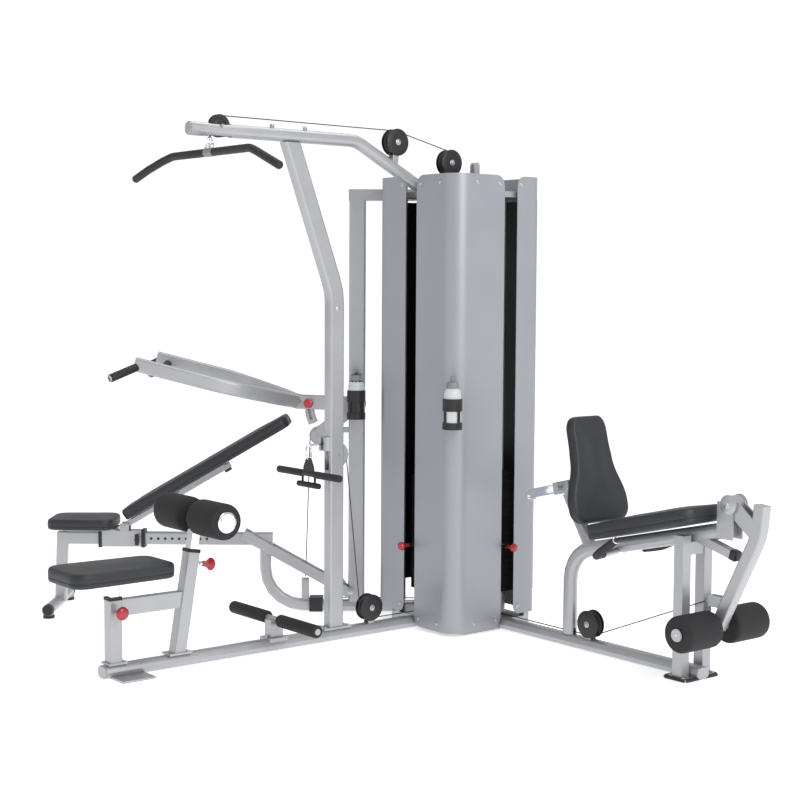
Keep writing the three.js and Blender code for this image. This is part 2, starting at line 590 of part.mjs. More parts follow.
const latMoving = () => {
  const s = 1330;
  const barZ = 2012;
  const centre = [[s, -285, barZ], [s, 285, barZ]];
  const tips = [-1, 1].map((side) => sweep(disc(16, 10), [[s, side * 280, barZ],
    [s + 12, side * 350, barZ - 18], [s + 26, side * 440, barZ - 48],
    [s + 34, side * 535, barZ - 82]]));
  const link = join(rod([s, 0, barZ], [s, 0, barZ + 34], 5, 10),
    rod([s, -34, barZ + 12], [s, 34, barZ + 12], 5, 10),
    rod([s, -34, barZ + 12], [s, -34, barZ - 8], 5, 10),
    rod([s, 34, barZ + 12], [s, 34, barZ - 8], 5, 10),
    rod([s, -7, barZ + 44], [s, 7, barZ + 44], 15, 12),
    rod([s, 0, barZ + 40], [s, 0, barZ + 59], 4, 8));
  add('lat_bar', LAT, join(rod(...centre, 16, 10), tips, link), BLACK);

  const rowS = 856;
  const rowZ = 716;
  const handle = join(rod([rowS, -220, rowZ], [rowS, 220, rowZ], 15, 12),
    box(rowS - 4, rowS + 4, -38, 38, rowZ - 4, rowZ + 66),
    rod([rowS, 0, rowZ + 62], [rowS, 0, rowZ + 124], 6, 10),
    rod([rowS, -75, rowZ - 46], [rowS, 75, rowZ - 46], 12, 12),
    box(rowS - 4, rowS + 4, -50, -38, rowZ - 46, rowZ + 4),
    box(rowS - 4, rowS + 4, 38, 50, rowZ - 46, rowZ + 4),
    rod([rowS + 6, 0, rowZ + 120], [rowS - 49, 0, rowZ + 120], 7, 10));
  add('row_handle', LAT, handle, BLACK);

  const pad = { low: 376, thick: 64, from: 1545, to: 1992, wide: 276, board: 8 };
  const board = box(seatPostS - 90, seatPostS + 90, -60, 60, pad.low - GAP - pad.board,
    pad.low - GAP);
  const stem = join(bar([[seatPostS, 140], [seatPostS, pad.low - 4]], 40, 40, 4), board);
  const half = PIN_SLOT / 2;
  const seatSlot = box(seatPostS - half, seatPostS + half, 8, 25,
    SEAT_PIN_Z - SEAT_TRAVEL - half, SEAT_PIN_Z + half);
  add('lat_seat_stem', LAT, cut(stem, seatSlot), CHROME);
  const padZ = pad.low + pad.thick / 2;
  add('lat_seat_cushion', LAT, sweep(roundedRect(pad.wide, pad.thick, 14, 2),
    [[pad.from, 0, padZ], [pad.to, 0, padZ]]), VINYL);
  add('seat_pin', LAT, join(
    rod([seatPostS, 12, SEAT_PIN_Z], [seatPostS, 46, SEAT_PIN_Z], 5.5, 10),
    knob([seatPostS, 44, SEAT_PIN_Z], [seatPostS, 88, SEAT_PIN_Z], 26)), RED);

  const kneeStem = join(bar([along(-170), [KNEE.axleS, KNEE.axleZ]], 40, 40, 4),
    rod([KNEE.axleS, -230, KNEE.axleZ], [KNEE.axleS, 230, KNEE.axleZ], 12.5, 12),
    [-1, 1].map((side) => rod([KNEE.axleS, side * 225, KNEE.axleZ],
      [KNEE.axleS, side * 232, KNEE.axleZ], 30, 12)));
  const slotEnds = [KNEE_PIN_D - KNEE_TRAVEL - half, KNEE_PIN_D + half];
  const slotLine = slotEnds.map((at) => {
    const [x, , y] = pinSpot(23, at);
    return [x, y];
  });
  add('knee_stem', LAT, cut(kneeStem, bar(slotLine, PIN_SLOT, 34, 1, 60, 1)), CHROME);
  add('knee_pin', LAT, join(rod(pinSpot(12), pinSpot(60), 5.5, 10),
    knob(pinSpot(58), pinSpot(112), 26)), RED);
  foamPair('knee', LAT, KNEE.axleS, KNEE.axleZ, 34, 222, 71, 13);
};

const foamPair = (name, frame, s, z, inner, outer, r, core) => {
  for (const [label, side] of [['near', 1], ['far', -1]]) {
    const tube = cut(rod([s, side * inner, z], [s, side * outer, z], r, 20),
      rod([s, side * (inner - 5), z], [s, side * (outer + 5), z], core, 12));
    add(`${name}_roller_${label}`, frame, tube, FOAM);
  }
};

// ---- leg station ----
const LEG_PIVOT = [1532, 692];
const LEG_AXLE = [1469, 216];
const BACK_LEAN = THREE.MathUtils.degToRad(14);
const backAlong = ([s, z], d, rise = 0) => [s - Math.cos(BACK_LEAN) * d - Math.sin(BACK_LEAN) * rise,
  z - Math.sin(BACK_LEAN) * d + Math.cos(BACK_LEAN) * rise];
const BACK_HUB = [640, 662];

const legBase = () => join(obround([[TOWER.v1 + GAP, TUBE_H / 2], [1398, TUBE_H / 2]]),
  box(1285, 1395, -95, 95, 0, 10),
  sheaveBracket(legBaseSheave.s, legBaseSheave.z, [legBaseSheave.s, 40], SHEAVE));

const legFrame = () => {
  const foot = TUBE_H + GAP;
  const curve = obround([[680, 20], [680, 395], [1530, 598]], 50, 62, 150);
  const posts = [-1, 1].map((side) => box(1318, 1363, side * 62 - 22.5, side * 62 + 22.5,
    11, 556));
  const tie = box(1322, 1359, -60, 60, 480, 530);
  const cheeks = [-1, 1].map((side) => join(
    box(1478, 1552, side * 28 - 4, side * 28 + 4, 560, 700),
    rod([LEG_PIVOT[0], side * 28 - 4, LEG_PIVOT[1]], [LEG_PIVOT[0], side * 28 + 4, LEG_PIVOT[1]],
      36, 12)));
  const support = bar([[808, 408], [662, 640]], 40, 40, 5);
  const sleeve = bar([backAlong(BACK_HUB, 45), backAlong(BACK_HUB, -45)], 52, 52, 5);
  const bore = bar([backAlong(BACK_HUB, 60), backAlong(BACK_HUB, -60)], 42, 42, 3);
  const handles = [-1, 1].map((side) => sweep(disc(13, 10), [[960, side * 20, 440],
    [985, side * 150, 438], [1012, side * 192, 444], [1052, side * 212, 466],
    [1140, side * 218, 524]]));
  const bolt = rod([LEG_PIVOT[0], -40, LEG_PIVOT[1]], [LEG_PIVOT[0], 40, LEG_PIVOT[1]], 9, 12);
  const lever = join(rod([BACK_HUB[0], -24, BACK_HUB[1]], [BACK_HUB[0], -48, BACK_HUB[1]], 8, 10),
    rod([BACK_HUB[0], -44, BACK_HUB[1] - 14], [BACK_HUB[0], -44, BACK_HUB[1] + 26], 6, 8));
  const bumper = bar([[1380, 545], [1552, 498]], 36, 36, 4);
  const body = join(curve, posts, tie, cheeks, support, sleeve, handles, bolt, lever, bumper);
  return cut(body, bore, box(600, 760, -60, 60, 0, foot), box(600, 760, -7, 7, foot, 78));
};

// Half the pad's width at heights measured from the back tube: wide low down, narrow at the top.
const BACK_PAD = [[-170, 128], [-160, 148], [-140, 160], [-90, 160], [-50, 150], [0, 128],
  [60, 108], [130, 100], [240, 98], [258, 90], [270, 72]];
const BACK_PAD_T = 58;
const BACK_PAD_D = -182; // middle of the pad's thickness along the back tube

const backPad = () => {
  const right = BACK_PAD.map(([rise, half]) => new THREE.Vector2(half, rise));
  const left = BACK_PAD.map(([rise, half]) => new THREE.Vector2(-half, rise)).reverse();
  const g = new THREE.ExtrudeGeometry(new THREE.Shape().setFromPoints([...right, ...left]), {
    depth: BACK_PAD_T - 16, bevelEnabled: true, bevelThickness: 8, bevelSize: 8, bevelOffset: -8,
    bevelSegments: 2 });
  g.translate(0, 0, 8 - BACK_PAD_T / 2);
  const [s, z] = backAlong(BACK_HUB, BACK_PAD_D);
  // Width goes to t, rise leans back with the tube's normal, depth runs along the tube.
  g.applyMatrix4(new THREE.Matrix4().makeBasis(new THREE.Vector3(0, 1, 0),
    new THREE.Vector3(-Math.sin(BACK_LEAN), 0, Math.cos(BACK_LEAN)),
    new THREE.Vector3(Math.cos(BACK_LEAN), 0, Math.sin(BACK_LEAN))));
  return solid(g.translate(s, 0, z));
};

const legMoving = () => {
  const [ps, pz] = LEG_PIVOT;
  const [as, az] = LEG_AXLE;
  const hub = rod([ps, -23.5, pz], [ps, 23.5, pz], 34, 12);
  const arm = bar([[1664, 702], [1652, 585], [as, az]], 46, 54, 10, 190, 2);
  const links = [-1, 1].map((side) => bar([[ps, pz], [1642, 604]], 8, 64, 2, 60, 1, side * 19));
  const axle = rod([as, -238, az], [as, 238, az], 12.5, 12);
  const caps = [-1, 1].map((side) => rod([as, side * 231, az], [as, side * 238, az], 24, 12));
  const clevis = [-1, 1].map((side) => box(1428, 1500, side * 12 - 3, side * 12 + 3, 292, 336));
  const eye = join(rod([1432, -16, 314], [1432, 16, 314], 6, 10),
    rod([1408, 0, 309], [1432, 0, 314], 5, 8));
  const bore = rod([ps, -30, pz], [ps, 30, pz], 9.5, 12);
  add('leg_lever', LEG, cut(join(hub, arm, links, axle, caps, clevis, eye), bore), SILVER);
  foamPair('leg', LEG, as, az, 46, 228, 70, 13);

  const seat = sweep(roundedRect(340, 74, 20, 2), [[898, 0, 519], [1438, 0, 654]]);
  add('leg_seat_cushion', LEG, seat, VINYL);

  const tube = join(bar([backAlong(BACK_HUB, 210), backAlong(BACK_HUB, -150)], 40, 40, 4),
    bar([backAlong(BACK_HUB, 210), backAlong(BACK_HUB, 216)], 50, 50, 4),
    bar([backAlong(BACK_HUB, -148, -90), backAlong(BACK_HUB, -148, 130)], 60, 8, 2));
  add('leg_back_tube', LEG, tube, CHROME);
  add('leg_back_pad', LEG, backPad(), VINYL);
};

// ---- chest press station ----
const POST = { s: 348, deep: 75, wide: 50, top: 1880 };
const PRESS_PIVOT = [348, 957];
const RAIL = { z: 332, h: 56, w: 46, front: 1690, rear: 733 };

const towerCutter = () => inFrame(box(TOWER.u0 - 1, TOWER.u1 + 1, TOWER.v0 - 1, TOWER.v1 + 1,
  -10, TOP_PLATE_Z + TOP_PLATE_T + GAP), UV, PRESS);

const pressFrame = () => {
  const { s, deep, wide, top } = POST;
  const post = bar([[s, 20], [s, top]], wide, deep, 12, 60, 3);
  const link = box(-10, s + 40, -25, 25, top - 1, top + 50);
  const base = obround([[60, TUBE_H / 2], [560, TUBE_H / 2]]);
  const curve = bar([[500, 27], [766, 27], [766, RAIL.z - RAIL.h / 2 - GAP]], 50, 50, 12, 170, 3);
  const bars = [-1, 1].map((side) => bar([[374, 84], [868, 356]], 10, 46, 3, 60, 1, side * 31));
  const anchor = [-1, 1].map((side) => box(566, 600, side * 9 - 3, side * 9 + 3, 45, 150));
  const anchorBolt = rod([582, -20, 140], [582, 20, 140], 6, 10);
  const boot = box(505, 560, -37, 37, 0, 62);
  const bolt = rod([374, -44, 96], [374, 44, 96], 9, 8);
  const [pivotS, pivotZ] = PRESS_PIVOT;
  const pivot = rod([pivotS, -52, pivotZ], [pivotS, 52, pivotZ], 12, 12);
  const stop = box(s + 30, s + 78, -14, 14, 826, 850);
  const slot = box(s - 60, s + 60, -9, 9, 48, 90);
  const runway = box(pressBaseSheave.s - 58, pressBaseSheave.s + 60, -14, 14, 50.5, 175);
  const body = cut(join(post, link, base, curve, boot, stop, pivot), towerCutter(), slot, runway);
  return join(body, bars, anchor, anchorBolt, bolt,
    sheaveBracket(pressBaseSheave.s, pressBaseSheave.z, [pressBaseSheave.s, 42], SHEAVE),
    sheave(pressBaseSheave.s, pressBaseSheave.z, SHEAVE, 0, BOLT_R - 1));
};

const benchRail = () => {
  const { z, h, w, front, rear } = RAIL;
  const rail = bar([[rear, z], [front + 4, z]], w, h, 6);
  const leg = bar([[1700, z + 26], [1712, 40]], 46, 50, 8);
  const foot = rod([1722, -230, 38], [1722, 230, 38], 25, 12);
  const pads = [-1, 1].map((side) => rod([1722, side * 205, 0], [1722, side * 205, 20], 24, 12));
  const holes = [];
  for (let i = 0; i < 9; i += 1) {
    const s = 1290 - i * 32;
    holes.push(rod([s, -40, z], [s, 40, z], 5.5, 8));
  }
  return cut(join(rail, leg, foot, pads), holes);
};

// Press lever: side plates on the post, the curved quadrant and the lower sheave.
const QUADRANT = { r: 218, wide: 60, deep: 40, low: -24, high: 5 };
const onQuadrant = (degrees, d = QUADRANT.r) => {
  const a = THREE.MathUtils.degToRad(degrees);
  return [PRESS_PIVOT[0] + d * Math.cos(a), PRESS_PIVOT[1] + d * Math.sin(a)];
};
const PIN_ANGLE = 1.6;
const ARM_SWING = 18.6; // degrees the arms can be set down from rest

const pressLever = () => {
  const [ps, pz] = PRESS_PIVOT;
  const tip = [leverSheave.s, leverSheave.z];
  const plates = [-1, 1].map((side) => {
    const y = side * 31;
    return join(rod([ps, y - 3, pz], [ps, y + 3, pz], 42, 12),
      bar([[ps, pz], tip], 6, 62, 2, 60, 1, y), bar([[ps, pz], onQuadrant(0)], 6, 44, 2, 60, 1, y),
      rod([tip[0], y - 3, tip[1]], [tip[0], y + 3, tip[1]], 31, 12));
  });
  const arc = [];
  for (let a = QUADRANT.low; a <= QUADRANT.high; a += 4.8) {
    const [s, z] = onQuadrant(a);
    arc.push([s, 0, z]);
  }
  const quadrant = sweep(roundedRect(QUADRANT.wide, QUADRANT.deep, 4, 1), arc);
  const axle = rod([tip[0], -40, tip[1]], [tip[0], 40, tip[1]], 7, 8);
  const bore = rod([ps, -45, pz], [ps, 45, pz], 12.6, 12);
  const slot = [];
  const slotEnd = 1.8; // degrees past the pin's centre at each end
  const slotStart = PIN_ANGLE - ARM_SWING - slotEnd;
  const slotStep = (ARM_SWING + 2 * slotEnd) / 5;
  for (let i = 0; i <= 5; i += 1) {
    const [s, z] = onQuadrant(slotStart + slotStep * i);
    slot.push([s, 28, z]);
  }
  const arcSlot = sweep(roundedRect(40, PIN_SLOT, 1, 1), slot);
  return cut(join(plates, quadrant, axle, sheave(tip[0], tip[1], INNER, 0, 5)), bore, arcSlot);
};

const ARM_T = 300;

const pressArms = () => {
  const [ps, pz] = PRESS_PIVOT;
  const hub = [622, 966];
  const plates = [-1, 1].map((side) => {
    const y = side * 41;
    return join(rod([ps, y - 3.5, pz], [ps, y + 3.5, pz], 40, 12),
      bar([[ps, pz], hub], 7, 60, 2, 60, 1, y));
  });
  const cross = rod([hub[0], -45, hub[1]], [hub[0], 45, hub[1]], 30, 12);
  const arms = [-1, 1].map((side) => sweep(roundedRect(44, 62, 12, 2), [
    [622, side * 22, 968], [700, side * 110, 990], [820, side * 210, 1022],
    [960, side * ARM_T, 1060], [1310, side * ARM_T, 1148]]));
  const grips = [-1, 1].map((side) => join(
    rod([1286, side * ARM_T, 1142], [1400, side * (ARM_T + 110), 1090], 16, 10),
    rod([1250, side * (ARM_T + 4), 1130], [1262, side * (ARM_T - 150), 1098], 16, 10)));
  const bore = rod([ps, -60, pz], [ps, 60, pz], 12.6, 12);
  const [s, z] = onQuadrant(PIN_ANGLE);
  return cut(join(plates, cross, arms, grips), bore, rod([s, 30, z], [s, 60, z], 6.5, 10));
};

const pressArmPin = () => {
  const [s, z] = onQuadrant(PIN_ANGLE);
  return join(rod([s, 12, z], [s, 52, z], 5.5, 8), rod([s, 45.5, z], [s, 58, z], 11, 12),
    knob([s, 56, z], [s, 92, z], 19));
};

const bench = () => {
  const { z, h, w } = RAIL;
  const inner = 0.5;
  const sleeve = cut(box(1323, 1526, -34, 34, z - h / 2 - 8, z + h / 2 + 8),
    box(1300, 1550, -w / 2 - inner, w / 2 + inner, z - h / 2 - inner, z + h / 2 + inner));
  const seatPlate = join(box(1446, 1690, -70, 70, 372, 380), box(1446, 1524, -30, 30, 366, 376));
  const hinge = [-1, 1].map((side) => box(1392, 1432, side * 30 - 3, side * 30 + 3, 362, 402));
  const hingeBolt = rod([1412, -38, 391], [1412, 38, 391], 6, 10);
  const tKnob = join(rod([1350, 30, z], [1350, 62, z], 7, 10), rod([1350, 58, z - 24],
    [1350, 58, z + 24], 8, 10));
  add('bench_slider', PRESS, join(sleeve, seatPlate, hinge, hingeBolt, tKnob), SILVER);
  const seat = sweep(roundedRect(270, 46, 14, 2), [[1450, 0, 404], [1755, 0, 404]]);
  add('bench_seat_cushion', PRESS, seat, VINYL);

  const lean = Math.atan2(899 - 423, 1437 - 632);
  const spot = (d, rise) => [1412 - Math.cos(lean) * d + Math.sin(lean) * rise,
    391 + Math.sin(lean) * d + Math.cos(lean) * rise];
  const spot3 = (d, rise, t) => spot(d, rise).toSpliced(1, 0, t);
  const rails = bar([spot(-14, 0), spot(560, 0)], 40, 26, 4);
  const pad = sweep(roundedRect(270, 52, 16, 2), [spot3(34, 43.5, 0), spot3(900, 43.5, 0)]);
  const mount = bar([spot(300, 12), spot(540, 12)], 60, 8, 2);
  const props = rod(spot3(540, -20, 0), spot3(540, 0, 0), 16, 12);
  const bore = rod([1412, -60, 391], [1412, 60, 391], 6.5, 10);
  add('bench_back_rail', PRESS, cut(join(rails, mount, props), bore), SILVER);
  add('bench_back_pad', PRESS, pad, VINYL);
};

// ---- bottles ----
const HOLDERS = [{ name: 'front', frame: WORLD, x: -22, y: -444.8, z: 985 },
  { name: 'left', frame: PRESS, x: 348, y: 99, z: 985 }];

const bottleSet = ({ name, frame, x, y, z }) => {
  const r = 37;
  const lone = name === 'front';
  const cup = cut(rod([x, y, z - 90], [x, y, z + 40], r + 5, 12),
    rod([x, y, lone ? z - 84 : z - 70], [x, y, z + 60], lone ? r + 1 : r - 2, 12),
    [box(x - 24, x + 24, y - 60, y + 60, z - 60, z - 12),
      box(x - 60, x + 60, y - 22, y + 22, z - 60, z - 12)]);
  const tab = lone ? box(x - 15, x + 15, y + r + 3, y + r + 9, z - 84, z + 40)
    : box(x - 15, x + 15, y - r - 9, y - r - 3, z - 84, z + 40);
  const profile = [[0, -83], [r - 5, -83], [r, -78], [r, 60], [30, 82], [24, 90], [24, 112],
    [10, 114], [8, 136], [0, 136]].map(([a, b]) => new THREE.Vector2(a, b));
  const g = new THREE.LatheGeometry(profile, 12);
  g.rotateX(Math.PI / 2);
  g.translate(x, y, z);
  if (lone) {
    add(`bottle_holder_${name}`, frame, join(cup, tab), BLACK);
    add(`bottle_${name}`, frame, solid(g), [0xe9ebee, 0.4, 0]);
  } else {
    add('bottle_and_holder_left', frame, join(cup, tab, solid(g)), BLACK);
  }
};

// ---- build ----
add('tower_frame', UV, towerFrame(), SILVER);
add('tower_head', UV, towerHead(), SILVER);
shrouds();
stacks();
stationCables();
add('lat_base', LAT, latBase(), SILVER);
add('lat_upright', LAT, latUpright(), SILVER);
add('lat_beam', LAT, latBeam(), SILVER);
add('lat_seat_frame', LAT, latSeatFrame(), SILVER);
latMoving();
add('lat_pulley_front', LAT, sheave(latFront.s, latFront.z, FRONT_SHEAVE), BLACK);
add('lat_pulley_middle', LAT, sheave(latMiddle.s, latMiddle.z, SHEAVE), BLACK);
add('lat_pulley_rear', LAT, sheave(latRear.s, latRear.z, SHEAVE), BLACK);
add('row_pulley_base', LAT, sheave(rowBaseSheave.s, rowBaseSheave.z, SHEAVE), BLACK);
add('leg_pulley_base', LEG, sheave(legBaseSheave.s, legBaseSheave.z, SHEAVE), BLACK);
add('leg_base', LEG, legBase(), SILVER);
add('leg_frame', LEG, legFrame(), SILVER);
legMoving();
add('press_frame', PRESS, pressFrame(), SILVER);
add('bench_rail', PRESS, benchRail(), SILVER);
add('press_lever', PRESS, pressLever(), CHROME);
add('press_arms', PRESS, pressArms(), SILVER);
add('press_arm_pin', PRESS, pressArmPin(), RED);
bench();
HOLDERS.forEach(bottleSet);

export default root;
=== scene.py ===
import json
import math

import bmesh
import bpy
from mathutils import Matrix, Vector, noise


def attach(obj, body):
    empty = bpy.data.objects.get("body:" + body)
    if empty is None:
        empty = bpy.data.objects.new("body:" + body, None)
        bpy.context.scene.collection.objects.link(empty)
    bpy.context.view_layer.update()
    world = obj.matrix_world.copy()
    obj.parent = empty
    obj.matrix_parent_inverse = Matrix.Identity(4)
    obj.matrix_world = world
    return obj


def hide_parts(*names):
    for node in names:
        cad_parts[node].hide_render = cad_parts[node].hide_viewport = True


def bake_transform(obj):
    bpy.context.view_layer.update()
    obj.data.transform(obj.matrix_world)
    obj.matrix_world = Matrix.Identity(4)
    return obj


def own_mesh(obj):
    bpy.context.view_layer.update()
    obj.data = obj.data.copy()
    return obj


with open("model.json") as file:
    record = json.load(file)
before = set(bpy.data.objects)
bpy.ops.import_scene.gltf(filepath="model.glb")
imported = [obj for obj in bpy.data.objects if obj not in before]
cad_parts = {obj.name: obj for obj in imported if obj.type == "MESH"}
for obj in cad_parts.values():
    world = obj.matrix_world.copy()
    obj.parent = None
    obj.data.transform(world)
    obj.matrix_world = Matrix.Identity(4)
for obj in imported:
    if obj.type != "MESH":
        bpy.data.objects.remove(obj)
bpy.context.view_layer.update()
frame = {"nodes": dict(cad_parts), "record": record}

NODES = frame["nodes"]
MM = 0.001
UP = Vector((0, 0, 1))


# ---- the four frames of the CAD model: s runs out along a station, t is sideways ----
def station(angle, origin=(0.0, 0.0)):
    """Frame that stands at origin and is turned about Z by an angle in degrees."""
    return Matrix.Translation((*origin, 0)) @ Matrix.Rotation(math.radians(angle), 4, "Z")


LAT = station(225)
LEG = station(315)
PRESS = station(186, (-0.155, 0.122))
PRESS_STACK = station(135)


def at(plane, s, t, z):
    """Point given in millimetres of a station's frame."""
    return plane @ Vector((s * MM, t * MM, z * MM))


def on(plane, pair):
    """Point on a station's middle line, from its (s, z) pair in millimetres."""
    return at(plane, pair[0], 0, pair[1])


def way(plane, s, t, z):
    """Unit direction in a station's frame."""
    return (plane.to_3x3() @ Vector((s, t, z))).normalized()


def facing(plane, s, z):
    """Frame at a station's (s, z), with X across the station, Y up and Z outward."""
    return Matrix.Translation(at(plane, s, 0, z)) @ Matrix(
        (way(plane, 0, 1, 0), UP, way(plane, 1, 0, 0))).transposed().to_4x4()


# ---- camera ----
FOCAL_PIXELS = 1559
FRAME_PIXELS = 800
camera = bpy.data.objects.new("camera", bpy.data.cameras.new("camera"))
bpy.context.scene.collection.objects.link(camera)
camera.data.sensor_width = 36
camera.data.lens = camera.data.sensor_width * FOCAL_PIXELS / FRAME_PIXELS
camera.data.clip_end = 60
camera.matrix_world = (
    Matrix.Translation((0.4865, -6.957, 1.50))
    @ Matrix.Rotation(math.radians(6.4), 4, "Z")
    @ Matrix.Rotation(math.radians(85.78), 4, "X")
    @ Matrix.Rotation(math.radians(0.33), 4, "Z")
)
bpy.context.scene.camera = camera


# ---- materials ----
def shade(color, factor):
    """Colour made lighter or darker, with full alpha."""
    return (*(min(1.0, c * factor) for c in color), 1.0)


def material(name, color, rough, metal=0.0, vary=0.05, patch=6.0, kind="noise", scale=900.0,
             bump=0.15, depth=0.0002, spread=0.08, **sockets):
    """Principled material: colour patches, a fine surface texture in bump, and uneven gloss."""
    m = bpy.data.materials.new(name)
    m.use_nodes = True
    tree = m.node_tree
    shader = tree.nodes["Principled BSDF"]
    link = tree.links.new
    where = tree.nodes.new("ShaderNodeTexCoord").outputs["Object"]
    large = tree.nodes.new("ShaderNodeTexNoise")
    large.inputs["Scale"].default_value = patch
    large.inputs["Detail"].default_value = 5
    link(where, large.inputs["Vector"])
    ramp = tree.nodes.new("ShaderNodeValToRGB")
    ramp.color_ramp.elements[0].position = 0.3
    ramp.color_ramp.elements[1].position = 0.7
    ramp.color_ramp.elements[0].color = shade(color, 1 - vary)
    ramp.color_ramp.elements[1].color = shade(color, 1 + vary)
    link(large.outputs["Fac"], ramp.inputs["Fac"])
    link(ramp.outputs["Color"], shader.inputs["Base Color"])
    if kind == "grain":
        fine = tree.nodes.new("ShaderNodeTexVoronoi")
        fine.feature = "DISTANCE_TO_EDGE"
        height = fine.outputs["Distance"]
    else:
        fine = tree.nodes.new("ShaderNodeTexNoise")
        fine.inputs["Detail"].default_value = 3
        height = fine.outputs["Fac"]
    fine.inputs["Scale"].default_value = scale
    link(where, fine.inputs["Vector"])
    bumps = tree.nodes.new("ShaderNodeBump")
    bumps.inputs["Strength"].default_value = bump
    bumps.inputs["Distance"].default_value = depth
    link(height, bumps.inputs["Height"])
    link(bumps.outputs["Normal"], shader.inputs["Normal"])
    gloss = tree.nodes.new("ShaderNodeMapRange")
    gloss.inputs["To Min"].default_value = max(0.02, rough - spread)
    gloss.inputs["To Max"].default_value = min(1.0, rough + spread)
    link(large.outputs["Fac"], gloss.inputs["Value"])
    link(gloss.outputs["Result"], shader.inputs["Roughness"])
    shader.inputs["Metallic"].default_value = metal
    for socket, value in sockets.items():
        shader.inputs[socket.replace("_", " ")].default_value = value
    return m


SILVER = material("silver_powder_coat", (0.44, 0.448, 0.47), 0.36, metal=0.55, vary=0.03,
                  scale=1500, bump=0.12, Coat_Weight=0.25, Coat_Roughness=0.2)
SHROUD = material("shroud_powder_coat", (0.36, 0.375, 0.41), 0.42, metal=0.45, vary=0.02,
                  scale=1300, bump=0.15, Coat_Weight=0.12, Coat_Roughness=0.3)
CHROME = material("chrome_plate", (0.80, 0.81, 0.83), 0.09, metal=1.0, vary=0.03, patch=25,
                  scale=300, bump=0.03, spread=0.04)
ZINC = material("zinc_bolts", (0.55, 0.56, 0.58), 0.3, metal=0.95, vary=0.08, patch=80,
                scale=700, bump=0.1)
IRON = material("enamelled_iron", (0.022, 0.022, 0.025), 0.42, metal=0.2, vary=0.2, patch=15,
                scale=260, bump=0.3, depth=0.0004)
VINYL = material("grained_vinyl", (0.019, 0.021, 0.027), 0.5, vary=0.12, patch=7, kind="grain",
                 scale=520, bump=0.32, depth=0.0004, Coat_Weight=0.1, Coat_Roughness=0.4)
WELT = material("vinyl_seam", (0.012, 0.012, 0.014), 0.55, vary=0.1, kind="grain", scale=700,
                bump=0.4, depth=0.0003)
FOAM = material("foam_rubber", (0.017, 0.017, 0.019), 0.78, vary=0.15, patch=12, kind="grain",
                scale=760, bump=0.6, depth=0.0006)
PLASTIC = material("moulded_black", (0.015, 0.015, 0.017), 0.45, vary=0.12, patch=14, scale=850,
                   bump=0.25, depth=0.0003)
GRIP = material("ribbed_rubber_grip", (0.014, 0.014, 0.016), 0.62, vary=0.12, patch=18,
                kind="grain", scale=420, bump=0.5, depth=0.0006)
RED = material("red_knob", (0.42, 0.018, 0.028), 0.27, vary=0.08, patch=30, scale=500, bump=0.08,
               Coat_Weight=0.5, Coat_Roughness=0.1)
CABLE = material("coated_cable", (0.02, 0.02, 0.022), 0.4, vary=0.15, patch=40, scale=900,
                 bump=0.5, depth=0.0003)
BOTTLE = material("frosted_bottle", (0.80, 0.83, 0.86), 0.35, vary=0.03, patch=9, scale=600,
                  bump=0.08, Transmission_Weight=0.25, Subsurface_Weight=0.2)
CAP = material("grey_cap", (0.22, 0.225, 0.235), 0.4, vary=0.06, patch=20, scale=600, bump=0.1)
SLOTS = {"silver_frame": SILVER, "shroud": SHROUD, "chrome": CHROME, "iron_plates": IRON,
         "vinyl": VINYL, "foam": FOAM, "black_plastic": PLASTIC, "red_plastic": RED,
         "cable": CABLE, "bottle": BOTTLE}


# ---- shapes ----
def fillet(points, radius, steps=8):
    """Corners of a polyline turned into arcs."""
    out = [Vector(points[0])]
    for before, corner, after in zip(points, points[1:], points[2:]):
        a = Vector(before) - Vector(corner)
        b = Vector(after) - Vector(corner)
        turn = math.pi - a.angle(b)
        if turn < 0.01:
            out.append(Vector(corner))
            continue
        back = min(radius * math.tan(turn / 2), 0.48 * a.length, 0.48 * b.length)
        real = back / math.tan(turn / 2)
        a.normalize()
        b.normalize()
        centre = Vector(corner) + (a + b).normalized() * (real / math.cos(turn / 2))
        first = Vector(corner) + a * back - centre
        last = Vector(corner) + b * back - centre
        for k in range(steps + 1):
            out.append(centre + first.normalized().slerp(last.normalized(), k / steps) * real)
    out.append(Vector(points[-1]))
    return out


def belt(items, step=9):
    """Cable path round sheaves, as (s, z) pairs. A positive run has the sheave on the left."""
    items = [(*item, 0)[:3] for item in items]
    headings = []
    for (s0, z0, q0), (s1, z1, q1) in zip(items, items[1:]):
        length = math.hypot(s1 - s0, z1 - z0)
        headings.append(math.atan2(z1 - z0, s1 - s0) - math.asin((q1 - q0) / length))
    out = []
    for i, (s, z, q) in enumerate(items):
        first = headings[max(i - 1, 0)]
        last = headings[min(i, len(headings) - 1)]
        if not q:
            out.append((s, z))
            continue
        turn = (last - first) % math.tau if q > 0 else -((first - last) % math.tau)
        n = max(1, math.ceil(math.degrees(abs(turn)) / step))
        for k in range(n + 1):
            h = first + turn * k / n
            out.append((s + math.sin(h) * q, z - math.cos(h) * q))
    return out


def frame_along(direction):
    """Rotation whose Z axis lies along a direction."""
    return Vector(direction).normalized().to_track_quat("Z", "Y").to_matrix().to_4x4()


def rounded(width, height, radius, steps=6):
    """Outline of a rectangle with round corners."""
    out = []
    for cx, cy, start in ((1, 1, 0), (-1, 1, 90), (-1, -1, 180), (1, -1, 270)):
        for k in range(steps + 1):
            a = math.radians(start + 90 * k / steps)
            out.append((cx * (width / 2 - radius) + radius * math.cos(a),
                        cy * (height / 2 - radius) + radius * math.sin(a)))
    return out


def placed(matrix, outline, z):
    """Outline in millimetres as points at height z of a frame."""
    return [matrix @ Vector((x * MM, y * MM, z * MM)) for x, y in outline]


